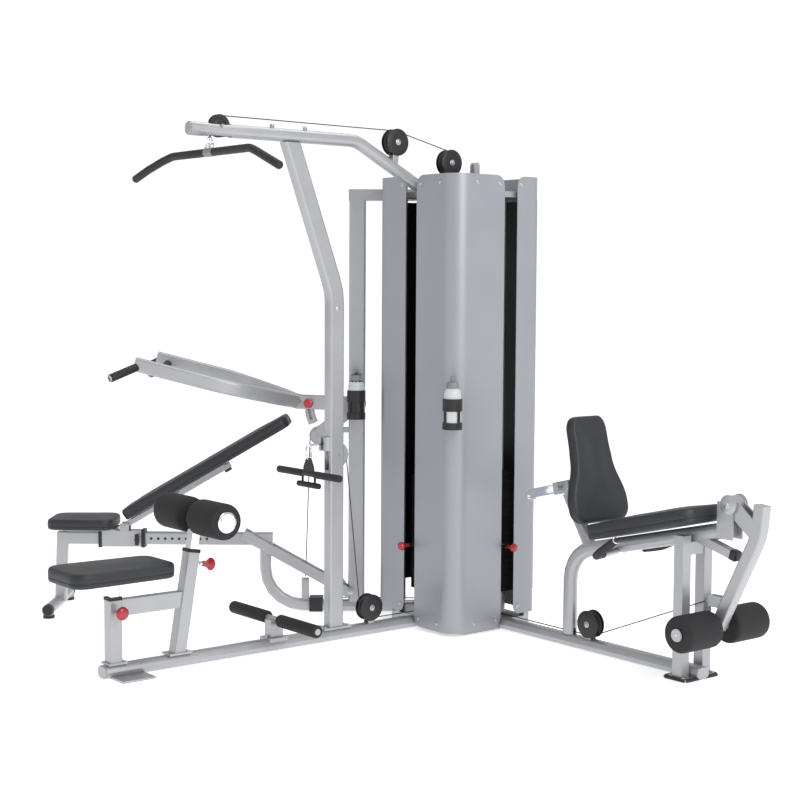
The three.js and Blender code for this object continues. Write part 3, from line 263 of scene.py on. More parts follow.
class Shape:
    """Mesh under construction, in the row frame."""

    def __init__(self):
        self.bm = bmesh.new()

    def loft(self, rings, closed=False):
        """Skin over rings of points: capped at both ends, or closed into a loop."""
        made = [[self.bm.verts.new(p) for p in ring] for ring in rings]
        pairs = list(zip(made, made[1:])) + ([(made[-1], made[0])] if closed else [])
        for low, high in pairs:
            n = len(low)
            for i in range(n):
                self.bm.faces.new((low[i], low[(i + 1) % n], high[(i + 1) % n], high[i]))
        if not closed:
            self.bm.faces.new(list(reversed(made[0])))
            self.bm.faces.new(made[-1])
        return self

    def tube(self, points, radius, sides=20, round_ends=0.0):
        """Round tube along points, in metres. round_ends is the radius of its end edges."""
        points = [Vector(p) for p in points]
        radii = [radius] * len(points)
        if round_ends:
            a, b = points[0], points[-1]
            first = (points[1] - a).normalized()
            last = (b - points[-2]).normalized()
            ease = round_ends * 0.3
            points = ([a, a + first * ease, a + first * round_ends] + points[1:-1]
                      + [b - last * round_ends, b - last * ease, b])
            end = [radius - round_ends, radius - ease, radius]
            radii = end + radii[1:-1] + end[::-1]
        tangent = (points[1] - points[0]).normalized()
        side = tangent.orthogonal().normalized()
        rings = []
        for i, p in enumerate(points):
            a = points[max(i - 1, 0)]
            b = points[min(i + 1, len(points) - 1)]
            new = (b - a).normalized()
            side = tangent.rotation_difference(new) @ side
            side = (side - new * side.dot(new)).normalized()
            tangent = new
            up = tangent.cross(side)
            rings.append([p + (side * math.cos(math.tau * k / sides)
                               + up * math.sin(math.tau * k / sides)) * radii[i]
                          for k in range(sides)])
        return self.loft(rings)

    def lathe(self, profile, origin, direction, sides=40, closed=False):
        """Profile of (radius, distance along the axis) in millimetres, turned about an axis."""
        turn = Matrix.Translation(origin) @ frame_along(direction)
        rings = [[turn @ Vector((max(r, 0.05) * MM * math.cos(math.tau * k / sides),
                                 max(r, 0.05) * MM * math.sin(math.tau * k / sides), h * MM))
                  for k in range(sides)] for r, h in profile]
        return self.loft(rings, closed=closed)

    def prism(self, outline, low, high, matrix, inset=0.0):
        """Outline in millimetres, extruded from low to high along the matrix's Z axis."""
        def ring(z, shrink):
            return [matrix @ Vector((x * MM * shrink, y * MM * shrink, z * MM))
                    for x, y in outline]
        if not inset:
            return self.loft([ring(low, 1), ring(high, 1)])
        reach = max(abs(x) for x, _ in outline)
        small = 1 - inset / reach
        return self.loft([ring(low, small), ring(low + inset, 1), ring(high - inset, 1),
                          ring(high, small)])

    def collar(self, outer, inner, height, matrix):
        """Square ring round a tube."""
        corner = 6
        big = rounded(outer, outer, corner)
        small = rounded(inner, inner, max(1, corner - (outer - inner) / 2))
        top = [(x * 0.97, y * 0.97) for x, y in big]
        return self.loft([placed(matrix, small, 0), placed(matrix, big, 0),
                          placed(matrix, big, height - 2), placed(matrix, top, height),
                          placed(matrix, small, height)], closed=True)

    def bolt(self, origin, direction, radius, head):
        """Hexagon-socket button head on a washer."""
        self.lathe([(radius * 1.45, 0), (radius * 1.45, 1.2), (radius * 1.35, 1.6),
                    (0, 1.6)], origin, direction, 24)
        return self.lathe([(radius, 1.2), (radius, head * 0.55), (radius * 0.88, head * 0.85),
                           (radius * 0.6, head), (radius * 0.42, head), (radius * 0.4, head * 0.5),
                           (0, head * 0.5)], origin, direction, 24)

    def make(self, name, look, body=None, slot=None, replaces=(), sharp=38):
        """Finish the mesh as a named piece."""
        bmesh.ops.remove_doubles(self.bm, verts=self.bm.verts, dist=1e-6)
        bmesh.ops.recalc_face_normals(self.bm, faces=self.bm.faces)
        mesh = bpy.data.meshes.new(name)
        self.bm.to_mesh(mesh)
        self.bm.free()
        return finish_piece(mesh, name, look, body, replaces, sharp)


def finish_piece(mesh, name, look, body, replaces, sharp, bevel=0.0):
    """Object from a mesh, riding on a body. Edges over sharp degrees stay sharp."""
    obj = bpy.data.objects.new(name, mesh)
    bpy.context.scene.collection.objects.link(obj)
    for polygon in mesh.polygons:
        polygon.use_smooth = True
    mesh.set_sharp_from_angle(angle=math.radians(sharp))
    mesh.materials.clear()
    mesh.materials.append(look)
    if bevel:
        add_bevel(obj, bevel)
    if body:
        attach(obj, body)
    if replaces:
        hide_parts(*replaces)
    return obj


def add_bevel(obj, width):
    """Eased edges, with the flat faces kept flat."""
    mod = obj.modifiers.new("edges", "BEVEL")
    mod.width = width
    mod.segments = 2
    mod.limit_method = "ANGLE"
    mod.angle_limit = math.radians(50)
    mod.use_clamp_overlap = True
    flat = obj.modifiers.new("flat_faces", "WEIGHTED_NORMAL")
    flat.weight = 90
    flat.keep_sharp = True


BODY_OF = {n: b for b, ns in frame["record"]["behaviour"]["bodies"].items() for n in ns}
SLOT_OF = {s["node"]: s["material_slot"] for s in frame["record"]["subparts"]}


def refined(node, look=None, bevel=0.0012):
    """Copy of a CAD node with merged flat faces, eased edges and smooth round faces."""
    mesh = NODES[node].data.copy()
    bm = bmesh.new()
    bm.from_mesh(mesh)
    bmesh.ops.remove_doubles(bm, verts=bm.verts, dist=2e-5)
    bmesh.ops.dissolve_limit(bm, angle_limit=math.radians(1), verts=bm.verts, edges=bm.edges)
    bm.to_mesh(mesh)
    bm.free()
    return finish_piece(mesh, f"{node}_shell", look or SLOTS[SLOT_OF[node]], BODY_OF[node],
                        (node,), 50, bevel)


# ---- carried-over CAD nodes: every one gets a detailed material ----
for name, node in NODES.items():
    node.data.materials.clear()
    node.data.materials.append(SLOTS[SLOT_OF[name]])

for name in ("lat_base", "lat_upright", "lat_beam", "lat_seat_frame", "leg_base", "leg_frame",
             "leg_lever", "press_frame", "bench_rail", "press_arms", "bench_slider",
             "bench_back_rail", "tower_frame", "tower_head"):
    refined(name)
refined("press_lever", SILVER)
for name in ("lat_seat_stem", "knee_stem", "leg_back_tube"):
    refined(name, CHROME)
for name in ("bottle_holder_front", "bottle_and_holder_left"):
    refined(name, PLASTIC, bevel=0.0008)
for name in ("lat_plates_resting", "leg_plates_resting", "press_plates_resting",
             "lat_stack_lifted", "leg_stack_lifted", "press_stack_lifted"):
    refined(name, IRON, bevel=0.0008)


# ---- shrouds: bent sheet with round corners ----
# Plan lines of the middle of the sheets, as distances from the tower's axes.
SHROUD_OUT = 288.5
SHROUD_LAT = 316.5
SHROUD_IN = 171.5
SHROUD_SIDE = 251.5
SHROUD_TOP = 1970
SHEET_HALF = 1.5
SLOT_HALF = 37.5
PRESS_GAP = (-45, 135)


def shroud(name, path, bend, bottom, corner, ends):
    """Sheet along a plan path in the tower's axes. ends says which ends have round corners."""
    line = fillet([Vector((u * MM, v * MM, 0)) for u, v in path], bend * MM, 20)
    dense = []
    for a, b in zip(line, line[1:]):
        n = max(1, int((b - a).length / 0.004))
        dense += [a.lerp(b, k / n) for k in range(n)]
    dense.append(line[-1])
    reach = [0.0]
    for a, b in zip(dense, dense[1:]):
        reach.append(reach[-1] + (b - a).length)
    total = reach[-1]
    half = SHEET_HALF * MM
    r = corner * MM
    columns = []
    for i, p in enumerate(dense):
        d = (dense[min(i + 1, len(dense) - 1)] - dense[max(i - 1, 0)]).normalized()
        out = Vector((d.y, -d.x, 0))
        gap = min(reach[i] if ends[0] else r, total - reach[i] if ends[1] else r, r)
        drop = r - math.sqrt(max(0.0, r * r - (r - gap) ** 2))
        low = bottom * MM + drop
        high = SHROUD_TOP * MM - drop
        columns.append([LAT @ (p + out * side * half + Vector((0, 0, z)))
                        for side, z in ((1, low), (1, high), (-1, high), (-1, low))])
    shape = Shape()
    shape.loft(columns)
    shape.make(name, SHROUD, "frame", "shroud", (name.replace("_sheet", ""),), sharp=30)


shroud("shroud_front_sheet",
       [(SHROUD_LAT, SLOT_HALF), (SHROUD_LAT, SHROUD_OUT), (SLOT_HALF, SHROUD_OUT)],
       bend=75, bottom=12, corner=45, ends=(True, True))
shroud("shroud_left_sheet",
       [(PRESS_GAP[1], -SHROUD_SIDE), (SHROUD_LAT, -SHROUD_SIDE), (SHROUD_LAT, -SLOT_HALF)],
       bend=75, bottom=60, corner=40, ends=(False, True))
shroud("shroud_right_sheet",
       [(-SLOT_HALF, SHROUD_OUT), (-SHROUD_IN, SHROUD_OUT), (-SHROUD_IN, -SHROUD_SIDE),
        (PRESS_GAP[0], -SHROUD_SIDE)],
       bend=35, bottom=60, corner=40, ends=(True, False))

# Painted shade: dark sheets inside the tower stand in for the shade seen through the gaps between
# the shrouds.
shade_sheets = Shape()
SHADE_SHEET_LOW, SHADE_SHEET_HIGH = 160, 1870
for outline in (((106, -246), (142, -246), (142, -243), (109, -243), (109, -105), (106, -105)),
                ((-163, -240), (-160, -240), (-160, 280), (-163, 280))):
    shade_sheets.loft([[at(LAT, u, v, z) for u, v in outline] for z in (SHADE_SHEET_LOW, SHADE_SHEET_HIGH)])
shade_sheets.make("tower_shade_sheets", PLASTIC, "frame", "black_plastic")

bolts = Shape()
LAT_FACE = SHROUD_LAT + SHEET_HALF
LEG_FACE = SHROUD_OUT + SHEET_HALF
for spot, heights in ((62, (1935, 48)), (190, (1935, 48)), (-62, (1935, 96))):
    for z in heights:
        bolts.bolt(at(LAT, LAT_FACE, spot, z), way(LAT, 1, 0, 0), 6, 4)
        bolts.bolt(at(LAT, spot, LEG_FACE, z), way(LAT, 0, 1, 0), 6, 4)
bolts.make("shroud_bolts", ZINC, "frame", "chrome")


# ---- sheaves, cables and yokes ----
def wheel(name, plane, s, z, radius, node):
    """Grooved sheave with a dished web and a bolt cap each side, its axle along t."""
    origin = at(plane, s, 0, z)
    axle = way(plane, 0, 1, 0)
    face = [(6.6, 10), (14, 11.2), (16, 9), (radius * 0.62, 7.5), (radius * 0.72, 11),
            (radius - 3, 12), (radius, 10.5), (radius, 8.5)]
    groove = [(radius - 1.5, 6.5), (radius - 8, 3.2), (radius - 8, -3.2), (radius - 1.5, -6.5)]
    back = [(r, -h) for r, h in reversed(face)]
    Shape().lathe(face + groove + back, origin, axle, 48, closed=True).make(
        name, PLASTIC, node, "black_plastic", (node,), sharp=30)


def cover(name, plane, s, z):
    """Black discs outside a sheave's straps, each with a bolt in the middle."""
    radius = 57
    discs = Shape()
    heads = Shape()
    for side in (1, -1):
        out = way(plane, 0, side, 0)
        discs.lathe([(radius, 0), (radius, 3), (radius - 3, 5), (radius * 0.5, 5.6), (0, 5.6)],
                    at(plane, s, side * STRAP_OUT, z), out, 48)
        heads.bolt(at(plane, s, side * (STRAP_OUT + 5), z), out, 9, 7)
    discs.make(f"{name}_discs", PLASTIC, "frame", "black_plastic")
    heads.make(f"{name}_bolts", ZINC, "frame", "chrome")


STRAP_OUT = 18  # from a sheave's middle to its straps' outer face
FRONT, MIDDLE, REAR = (1289, 2117), (409, 2106), (106, 2035)
ROW_LOW, ROW_MID = (538, 116), (713, 787)
LEG_LOW = (800, 111)
PRESS_LOW = (445, 110)
FRONT_R, SHEAVE_R = 45, 53
for name, node, plane, spot, radius in (
        ("lat_wheel_front", "lat_pulley_front", LAT, FRONT, FRONT_R),
        ("lat_wheel_middle", "lat_pulley_middle", LAT, MIDDLE, SHEAVE_R),
        ("lat_wheel_rear", "lat_pulley_rear", LAT, REAR, SHEAVE_R),
        ("row_wheel_low", "row_pulley_base", LAT, ROW_LOW, SHEAVE_R),
        ("leg_wheel_low", "leg_pulley_base", LEG, LEG_LOW, SHEAVE_R)):
    wheel(name, plane, *spot, radius, node)
for name, plane, spot in (("lat_middle", LAT, MIDDLE), ("lat_rear", LAT, REAR),
                          ("row_low", LAT, ROW_LOW), ("leg_low", LEG, LEG_LOW)):
    cover(name, plane, *spot)

# Radius of the cable's path on the large, the front and the inner sheaves.
RUN, FRONT_RUN, INNER_RUN = 49, 41, 36
INNER_TOP = 1830
CABLE_END = 1800
CABLE_R = 2.2 * MM


def inner_z(z):
    """Height of the guide sheave that takes a level cable from a large base sheave."""
    return z - RUN + INNER_RUN


def fixed_cable(name, plane, pairs, node):
    """Cable along (s, z) pairs, fixed to the frame."""
    Shape().tube([on(plane, pair) for pair in pairs], CABLE_R, 12).make(
        name, CABLE, "frame", "cable", (node,), sharp=60)


def moving_cable(name, plane, start, end, steps=40):
    """Straight run between two (s, z) pairs that stretches from the frame to a moving body."""
    start, end = on(plane, start), on(plane, end)
    points = [start.lerp(end, k / steps) for k in range(steps + 1)]
    obj = Shape().tube(points, CABLE_R, 12).make(name, CABLE, None, "cable", sharp=60)
    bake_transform(obj)


# Where each cable meets what pulls it.
LAT_CLIP = (1330, 2072)
ROW_CLIP = (806, ROW_MID[1] + RUN)
LEG_CLIP = (1405, 306)
PRESS_TIE = (494, 150)
# Where each cable comes down to its stack, and rises inside the tower.
ROW_DROP, LAT_DROP, LEG_DROP, PRESS_DROP = 96, 190, 170, -28
LEG_RISE, PRESS_RISE = 30, -168


def guide(drop):
    """Last guide sheave of a cable that comes down at drop."""
    return drop - INNER_RUN, INNER_TOP, -INNER_RUN


lat_path = belt([LAT_CLIP, (*FRONT, FRONT_RUN), (*MIDDLE, RUN), (*REAR, RUN),
                 guide(LAT_DROP), (LAT_DROP, CABLE_END)])
fixed_cable("lat_cable_run", LAT, lat_path[1:], "lat_cable")
moving_cable("lat_cable_drop", LAT, lat_path[1], LAT_CLIP, 12)
row_path = belt([ROW_CLIP, (*ROW_MID, RUN), (*ROW_LOW, -RUN),
                 (ROW_DROP - INNER_RUN, inner_z(ROW_LOW[1]), -INNER_RUN), guide(ROW_DROP),
                 (ROW_DROP, CABLE_END)])
fixed_cable("row_cable_run", LAT, row_path[1:], "row_cable")
moving_cable("row_cable_pull", LAT, row_path[1], ROW_CLIP)
leg_path = belt([LEG_CLIP, (*LEG_LOW, -RUN), (LEG_RISE, inner_z(LEG_LOW[1]), -INNER_RUN),
                 (LEG_RISE, INNER_TOP, -INNER_RUN), guide(LEG_DROP), (LEG_DROP, CABLE_END)])
fixed_cable("leg_cable_run", LEG, leg_path[1:], "leg_cable")
moving_cable("leg_cable_pull", LEG, leg_path[1], LEG_CLIP, 60)
press_path = belt([PRESS_TIE, (*PRESS_LOW, -RUN),
                   (PRESS_RISE, inner_z(PRESS_LOW[1]), -INNER_RUN),
                   (PRESS_RISE, INNER_TOP, -INNER_RUN), guide(PRESS_DROP),
                   (PRESS_DROP, CABLE_END)])
fixed_cable("press_cable_run", PRESS, press_path, "press_cable")

# The press lever's loop, from the frame's anchor up over the lever's sheave and down again.
LOOP_TOP = (526, 812)
LOOP_STEP = 15
lever_path = belt([(582, 158), (*LOOP_TOP, INNER_RUN), (494, 150.4)])
lever_points = []
for (s0, z0), (s1, z1) in zip(lever_path, lever_path[1:]):
    n = max(1, int(math.hypot(s1 - s0, z1 - z0) / LOOP_STEP))
    lever_points += [at(PRESS, s0 + (s1 - s0) * k / n, 0, z0 + (z1 - z0) * k / n)
                     for k in range(n)]
lever_points.append(on(PRESS, lever_path[-1]))
lever_cable = Shape().tube(lever_points, CABLE_R, 12).make(
    "press_lever_cable_loop", CABLE, None, "cable", ("press_lever_cable",), sharp=60)
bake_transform(lever_cable)

# Yoke on each stack's head, and the cable ends above it. The real ends shorten as the stack rises;
# these are drawn at their resting length, fixed to the frame.
HEAD_TOP = 728
for label, plane, spots, node, travel in (
        ("lat", LAT, (ROW_DROP, LAT_DROP), "lat_stack_cables", 900),
        ("leg", LEG, (LEG_DROP,), "leg_stack_cable", 540),
        ("press", PRESS, (PRESS_DROP,), "press_stack_cable", 340)):
    middle = 176 if label == "press" else sum(spots) / len(spots)
    base = PRESS_STACK if label == "press" else plane
    width = 16 + (max(spots) - min(spots))
    turn = base @ Matrix.Translation((middle * MM, 0, 0))
    Shape().prism(rounded(width, 16, 4), HEAD_TOP + 0.5, HEAD_TOP + 14, turn, 1.5).make(
        f"{label}_stack_yoke", ZINC, f"{label}_stack", "iron_plates", (node,))
    for k, s in enumerate(spots):
        top = at(plane, s, 0, CABLE_END)
        low = at(plane, s, 0, HEAD_TOP + 10)
        drop = Shape().tube([low.lerp(top, i / 12) for i in range(13)], CABLE_R, 12).make(
            f"{label}_stack_drop_{k}", CABLE, "frame", "cable", sharp=60)
        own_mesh(drop)

# Bright hole rims down the front of each stack, but for the plate that holds the pin.
PLATE = 25.4
STACK_LOW = 150
RESTING, PLATES = 8, 20
STACK_FACE = {"lat": (LAT, 225), "leg": (LEG, 225), "press": (PRESS_STACK, 231)}
for label, (plane, s) in STACK_FACE.items():
    for body, first, last in (("frame", 0, RESTING), (f"{label}_stack", RESTING + 1, PLATES)):
        rims = Shape()
        for i in range(first, last):
            z = STACK_LOW + (i + 0.5) * PLATE
            rims.lathe([(4.2, -1), (6.8, -1), (6.8, 0.5), (6.2, 0.9), (4.2, 0.3)],
                       at(plane, s, 0, z), way(plane, 1, 0, 0), 20, closed=True)
        rims.make(f"{label}_{'low' if body == 'frame' else 'lifted'}_hole_rims", CHROME, body,
                  "chrome")


# ---- knobs and pins ----
def knob(name, origin, direction, shank, body, node, radius, reach, pin, pin_r=5.3):
    """Mushroom knob on a chrome shank. The shank starts at origin, with a pin behind it."""
    head = Shape().lathe([(radius * 0.42, shank), (radius * 0.5, shank + reach * 0.35),
                          (radius * 0.8, shank + reach * 0.55), (radius, shank + reach * 0.68),
                          (radius * 0.98, shank + reach * 0.82),
                          (radius * 0.8, shank + reach * 0.94),
                          (radius * 0.4, shank + reach), (0, shank + reach)],
                         origin, direction, 40)
    head.make(f"{name}_knob", RED, body, "red_plastic", (node,))
    Shape().lathe([(pin_r, -pin), (pin_r, shank * 0.4), (pin_r + 3, shank * 0.45),
                   (pin_r + 3, shank * 0.9), (pin_r, shank + 6)], origin, direction, 28).make(
        f"{name}_shank", CHROME, body, "chrome")


SELECT_Z = STACK_LOW + (RESTING + 0.5) * PLATE
for label, reach in (("lat", 150), ("leg", 118), ("press", 118)):
    plane, s = STACK_FACE[label]
    knob(f"{label}_selector", at(plane, s, 0, SELECT_Z), way(plane, 1, 0, -0.02), reach - 50,
         f"{label}_pin", f"{label}_selector_pin", 19, 50, 31, 5)

SEAT_POST_S = 1767
knob("seat_pin", at(LAT, SEAT_POST_S, 27, 257), way(LAT, 0, 1, 0), 17, "seat_pin", "seat_pin",
     26, 42, 14.5)

# The knee post leans back: its top, and the shares of its run along s and z.
KNEE_TOP = (1421, 452)
LEAN_S, LEAN_Z = 0.1644, 0.9864


def knee_spot(down, out):
    """Point down the knee post from its top, and out from its middle line to the tower."""
    return at(LAT, KNEE_TOP[0] + LEAN_S * down - LEAN_Z * out, 0,
              KNEE_TOP[1] - LEAN_Z * down - LEAN_S * out)


knob("knee_pin", knee_spot(48, 30), way(LAT, -LEAN_Z, 0, -LEAN_S), 30, "knee_pin", "knee_pin",
     26, 50, 17)

PRESS_PIVOT = (348, 957)
pin_angle, pin_radius = math.radians(1.6), 218
knob("press_arm_pin", at(PRESS, PRESS_PIVOT[0] + pin_radius * math.cos(pin_angle), 45.5,
                         PRESS_PIVOT[1] + pin_radius * math.sin(pin_angle)),
     way(PRESS, 0, 1, 0), 11, "press_arm_pin", "press_arm_pin", 22, 35, 32)


# ---- foam rollers and grips ----
def roller(name, plane, s, z, side, inner, outer, radius, node):
    """Foam roller between two distances from the station's middle line."""
    core = 13
    origin = at(plane, s, side * inner, z)
    axle = way(plane, 0, side, 0)
    long = outer - inner
    soft = 11
    foam = [(core + 0.3, 0), (radius - soft, 0), (radius - 4, 3), (radius - 0.8, soft * 0.9),
            (radius, soft * 1.6), (radius, long - soft * 1.6), (radius - 0.8, long - soft * 0.9),
            (radius - 4, long - 3), (radius - soft, long), (core + 0.3, long)]
    Shape().lathe(foam, origin, axle, 56, closed=True).make(
        name, FOAM, node, "foam", (node,), sharp=50)


def hub(name, plane, s, z, t, side, radius, body):
    """Chrome end disc with a dished face and a bolt."""
    Shape().lathe([(radius, 0), (radius, 2.5), (radius * 0.9, 4), (radius * 0.62, 4),
                   (radius * 0.55, 2.4), (radius * 0.36, 2.4), (radius * 0.33, 6), (0, 7)],
                  at(plane, s, side * t, z), way(plane, 0, side, 0), 40).make(
        name, CHROME, body, "chrome")


KNEE = (1398.3, 588.2)
LEG_AXLE = (1469, 216)
for label, side in (("near", 1), ("far", -1)):
    roller(f"knee_foam_{label}", LAT, *KNEE, side, 34, 222, 71, f"knee_roller_{label}")
    hub(f"knee_hub_{label}", LAT, *KNEE, 225.4, side, 41, "knee_stem")
    roller(f"leg_foam_{label}", LEG, *LEG_AXLE, side, 46, 228, 70, f"leg_roller_{label}")
    hub(f"leg_hub_{label}", LEG, *LEG_AXLE, 231.4, side, 24, "leg_lever")
    grip = Shape().tube([at(LAT, 1030, side * 44, 128), at(LAT, 1030, side * 307, 128)],
                        26 * MM, 32, 5 * MM)
    grip.make(f"foot_brace_foam_{label}", FOAM, "frame", "foam")

BAR_S, BAR_Z = LAT_CLIP[0], 2012


def bar_points(side):
    """Half of the lat bar, from its middle to its tip."""
    return [at(LAT, BAR_S, side * 20, BAR_Z), at(LAT, BAR_S, side * 285, BAR_Z),
            at(LAT, BAR_S + 12, side * 350, BAR_Z - 18),
            at(LAT, BAR_S + 26, side * 440, BAR_Z - 48),
            at(LAT, BAR_S + 34, side * 535, BAR_Z - 82)]


Shape().lathe([(15, -30), (17.5, -28), (17.5, 28), (15, 30)], at(LAT, BAR_S, 0, BAR_Z),
              way(LAT, 0, 1, 0), 32).make("lat_bar_clamp", CAP, "lat_bar", "black_plastic",
                                          ("lat_bar",))
for label, side in (("near", 1), ("far", -1)):
    Shape().tube(fillet(bar_points(side), 0.12, 10), 16 * MM, 28, 5 * MM).make(
        f"lat_bar_grip_{label}", GRIP, "lat_bar", "black_plastic")


def link_ring(shape, centre, right, up, width, height, wire):
    """Closed oval of wire, such as a carabiner."""
    count = 40
    points = []
    for k in range(count):
        a = math.tau * k / count
        points.append(centre + right * (math.copysign(abs(math.cos(a)) ** 0.8, math.cos(a))
                                        * width / 2 * MM)
                      + up * (math.sin(a) * height / 2 * MM))
    normal = right.cross(up)
    rings = []
    for i, p in enumerate(points):
        d = (points[(i + 1) % count] - points[i - 1]).normalized()
        side = d.cross(normal)
        rings.append([p + (side * math.cos(math.tau * j / 12)
                           + normal * math.sin(math.tau * j / 12)) * wire * MM
                      for j in range(12)])
    shape.loft(rings, closed=True)


links = Shape()
link_ring(links, at(LAT, BAR_S, 0, 2034), way(LAT, 0, 1, 0), UP, 62, 20, 4)
link_ring(links, at(LAT, BAR_S, 0, 2052), way(LAT, 1, 0, 0), UP, 20, 36, 3.6)
links.lathe([(5, 0), (9, 1), (9, 12), (5, 16), (3, 20)], at(LAT, BAR_S, 0, 2055), UP, 24)
for side in (-1, 1):
    links.tube([at(LAT, BAR_S, side * 34, 2006), at(LAT, BAR_S, side * 34, 2034)], 5 * MM, 16,
               1.5 * MM)
links.make("lat_bar_links", CHROME, "lat_bar", "chrome")

ROW_S, ROW_Z = 856, 716
for label, side in (("near", 1), ("far", -1)):
    Shape().tube([at(LAT, ROW_S, side * 44, ROW_Z), at(LAT, ROW_S, side * 220, ROW_Z)],
                 15 * MM, 28, 4 * MM).make(f"row_grip_{label}", GRIP, "row_handle",
                                           "black_plastic")
row = Shape()
row.tube([at(LAT, ROW_S, -60, ROW_Z), at(LAT, ROW_S, 60, ROW_Z)], 11 * MM, 24)
flat = (Matrix.Translation(at(LAT, ROW_S, 0, ROW_Z + 30)) @ LAT.to_3x3().to_4x4()
        @ Matrix.Rotation(math.radians(90), 4, "Y"))
row.prism([(36, -38), (36, 38), (0, 34), (-36, 14), (-36, -14), (0, -34)], -4, 4, flat, 0.8)
for side in (-1, 1):
    row.tube([at(LAT, ROW_S, side * 44, ROW_Z), at(LAT, ROW_S, side * 44, ROW_Z - 46)], 5 * MM, 16)
row.make("row_handle_plate", PLASTIC, "row_handle", "black_plastic", ("row_handle",))
Shape().tube([at(LAT, ROW_S, -75, ROW_Z - 46), at(LAT, ROW_S, 75, ROW_Z - 46)], 12 * MM, 28,
             3 * MM).make("row_grip_low", GRIP, "row_handle", "black_plastic")
row_links = Shape()
link_ring(row_links, at(LAT, ROW_S, 0, ROW_Z + 92), way(LAT, 1, 0, 0), UP, 26, 62, 4)
row_links.tube(fillet([at(LAT, ROW_S, 0, ROW_Z + 116), at(LAT, ROW_S - 8, 0, ROW_Z + 120),
                       at(LAT, ROW_S - 49, 0, ROW_Z + 120)], 0.01, 4), 5 * MM, 16)
row_links.make("row_handle_links", CHROME, "row_handle", "chrome")

for label, side in (("near", 1), ("far", -1)):
    start, end = at(PRESS, 1300, side * 313, 1135.5), at(PRESS, 1400, side * 410, 1090)
    Shape().tube([start, end], 18 * MM, 28, 4 * MM).make(
        f"press_grip_outer_{label}", GRIP, "press_arms", "black_plastic")
    start, end = at(PRESS, 1253, side * 262, 1122), at(PRESS, 1262, side * 150, 1098)
    Shape().tube([start, end], 18 * MM, 28, 4 * MM).make(
        f"press_grip_inner_{label}", GRIP, "press_arms", "black_plastic")
    path = [at(LEG, 978, side * 115, 438.6), at(LEG, 985, side * 150, 438),
            at(LEG, 1012, side * 192, 444), at(LEG, 1052, side * 212, 466),
            at(LEG, 1140, side * 218, 524)]
    Shape().tube(fillet(path, 0.03, 6), 16 * MM, 28, 4 * MM).make(
        f"leg_seat_grip_{label}", GRIP, "frame", "black_plastic")
    Shape().lathe([(14.5, -1), (14.5, 1.5), (12, 3.5), (0, 3.5)], path[-1], path[-1] - path[-2],
                  32).make(f"leg_seat_grip_cap_{label}", CHROME, "frame", "chrome")


# ---- cushions ----
def along_table(table, u):
    """Value at u between the rows (place, value) of a table, eased between rows."""
    for (a, low), (b, high) in zip(table, table[1:]):
        if u <= b:
            f = max(0.0, (u - a) / (b - a))
            return low + (high - low) * f * f * (3 - 2 * f)
    return table[-1][1]


def cushion(name, node, plane, ends, width, thick, corner, body, crown, widths):
    """Crowned pad with a seam round its side, over a thin board. ends are (s, z) pairs,
    widths are (share of the length, share of the width) pairs."""
    (s0, z0), (s1, z1) = ends
    long = math.hypot(s1 - s0, z1 - z0)
    along = way(plane, s1 - s0, 0, z1 - z0)
    across = way(plane, 0, 1, 0)
    normal = along.cross(across)
    if normal.z < 0:
        normal = -normal
    centre = at(plane, (s0 + s1) / 2, 0, (z0 + z1) / 2)
    turn = Matrix((along, across, normal)).transposed().to_4x4()
    turn.translation = centre
    half = thick / 2

    def outline(shrink):
        r = max(corner - shrink, 6)
        flat = rounded(long - 2 * shrink, width - 2 * shrink, r, 10)
        dense = []
        for (xa, ya), (xb, yb) in zip(flat, flat[1:] + flat[:1]):
            gap = math.hypot(xb - xa, yb - ya)
            n = max(1, int(gap / 22)) if gap > 30 else 1
            dense += [(xa + (xb - xa) * k / n, ya + (yb - ya) * k / n) for k in range(n)]
        return dense

    count = len(outline(0))

    def ring(shrink, z, lift=0.0):
        points = outline(shrink)
        if len(points) != count:
            base = outline(0)
            fx = (long - 2 * shrink) / long
            fy = (width - 2 * shrink) / width
            points = [(x * fx, y * fy) for x, y in base]
        out = []
        for x, y in points:
            scale = along_table(widths, x / long + 0.5)
            soft = noise.noise(Vector((x * 0.012, y * 0.012, half * 0.1))) * 1.3 * lift
            out.append(turn @ Vector((x * MM, y * scale * MM, (z + soft) * MM)))
        return out

    rings = [ring(24, -half + 1), ring(9, -half + 0.5), ring(3.5, -half + 4),
             ring(1.2, -half + thick * 0.22), ring(3.2, -half + thick * 0.3),
             ring(1.0, -half + thick * 0.38), ring(0.6, -half + thick * 0.55),
             ring(2.2, half - crown - 6), ring(6.5, half - crown - 1),
             ring(14, half - crown + 2.5, 0.3)]
    depth = min(width, long) / 2
    for k in range(1, 8):
        f = k / 7
        shrink = 14 + (depth * 0.86 - 14) * f
        rise = crown * (1 - (1 - f) ** 2.2)
        rings.append(ring(shrink, half - crown + 2.5 + (rise - 2.5) * f, 1.0))
    pad = Shape()
    pad.loft(rings)
    obj = pad.make(name, VINYL, None, "vinyl", (node,), sharp=80)
    smooth = obj.modifiers.new("smooth", "SUBSURF")
    smooth.levels = 1
    smooth.render_levels = 1
    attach(obj, body)
    welt_line = ring(2.6, -half + thick * 0.3)
    welt = Shape()
    rows = []
    for i, p in enumerate(welt_line):
        d = (welt_line[(i + 1) % len(welt_line)] - welt_line[i - 1]).normalized()
        side = d.cross(normal)
        rows.append([p + (side * math.cos(math.tau * j / 8)
                          + normal * math.sin(math.tau * j / 8)) * 1.6 * MM for j in range(8)])
    welt.loft(rows, closed=True)
    seam = welt.make(f"{name}_welt", WELT, None, "vinyl", sharp=80)
    seam.parent = obj


BACK_LEAN = math.radians(14)
BENCH_LEAN = math.atan2(899 - 423, 1437 - 632)


def back_along(d, rise):
    """Pair (s, z) in the leg back pad's own axes."""
    return (640 - math.cos(BACK_LEAN) * d - math.sin(BACK_LEAN) * rise,
            662 - math.sin(BACK_LEAN) * d + math.cos(BACK_LEAN) * rise)


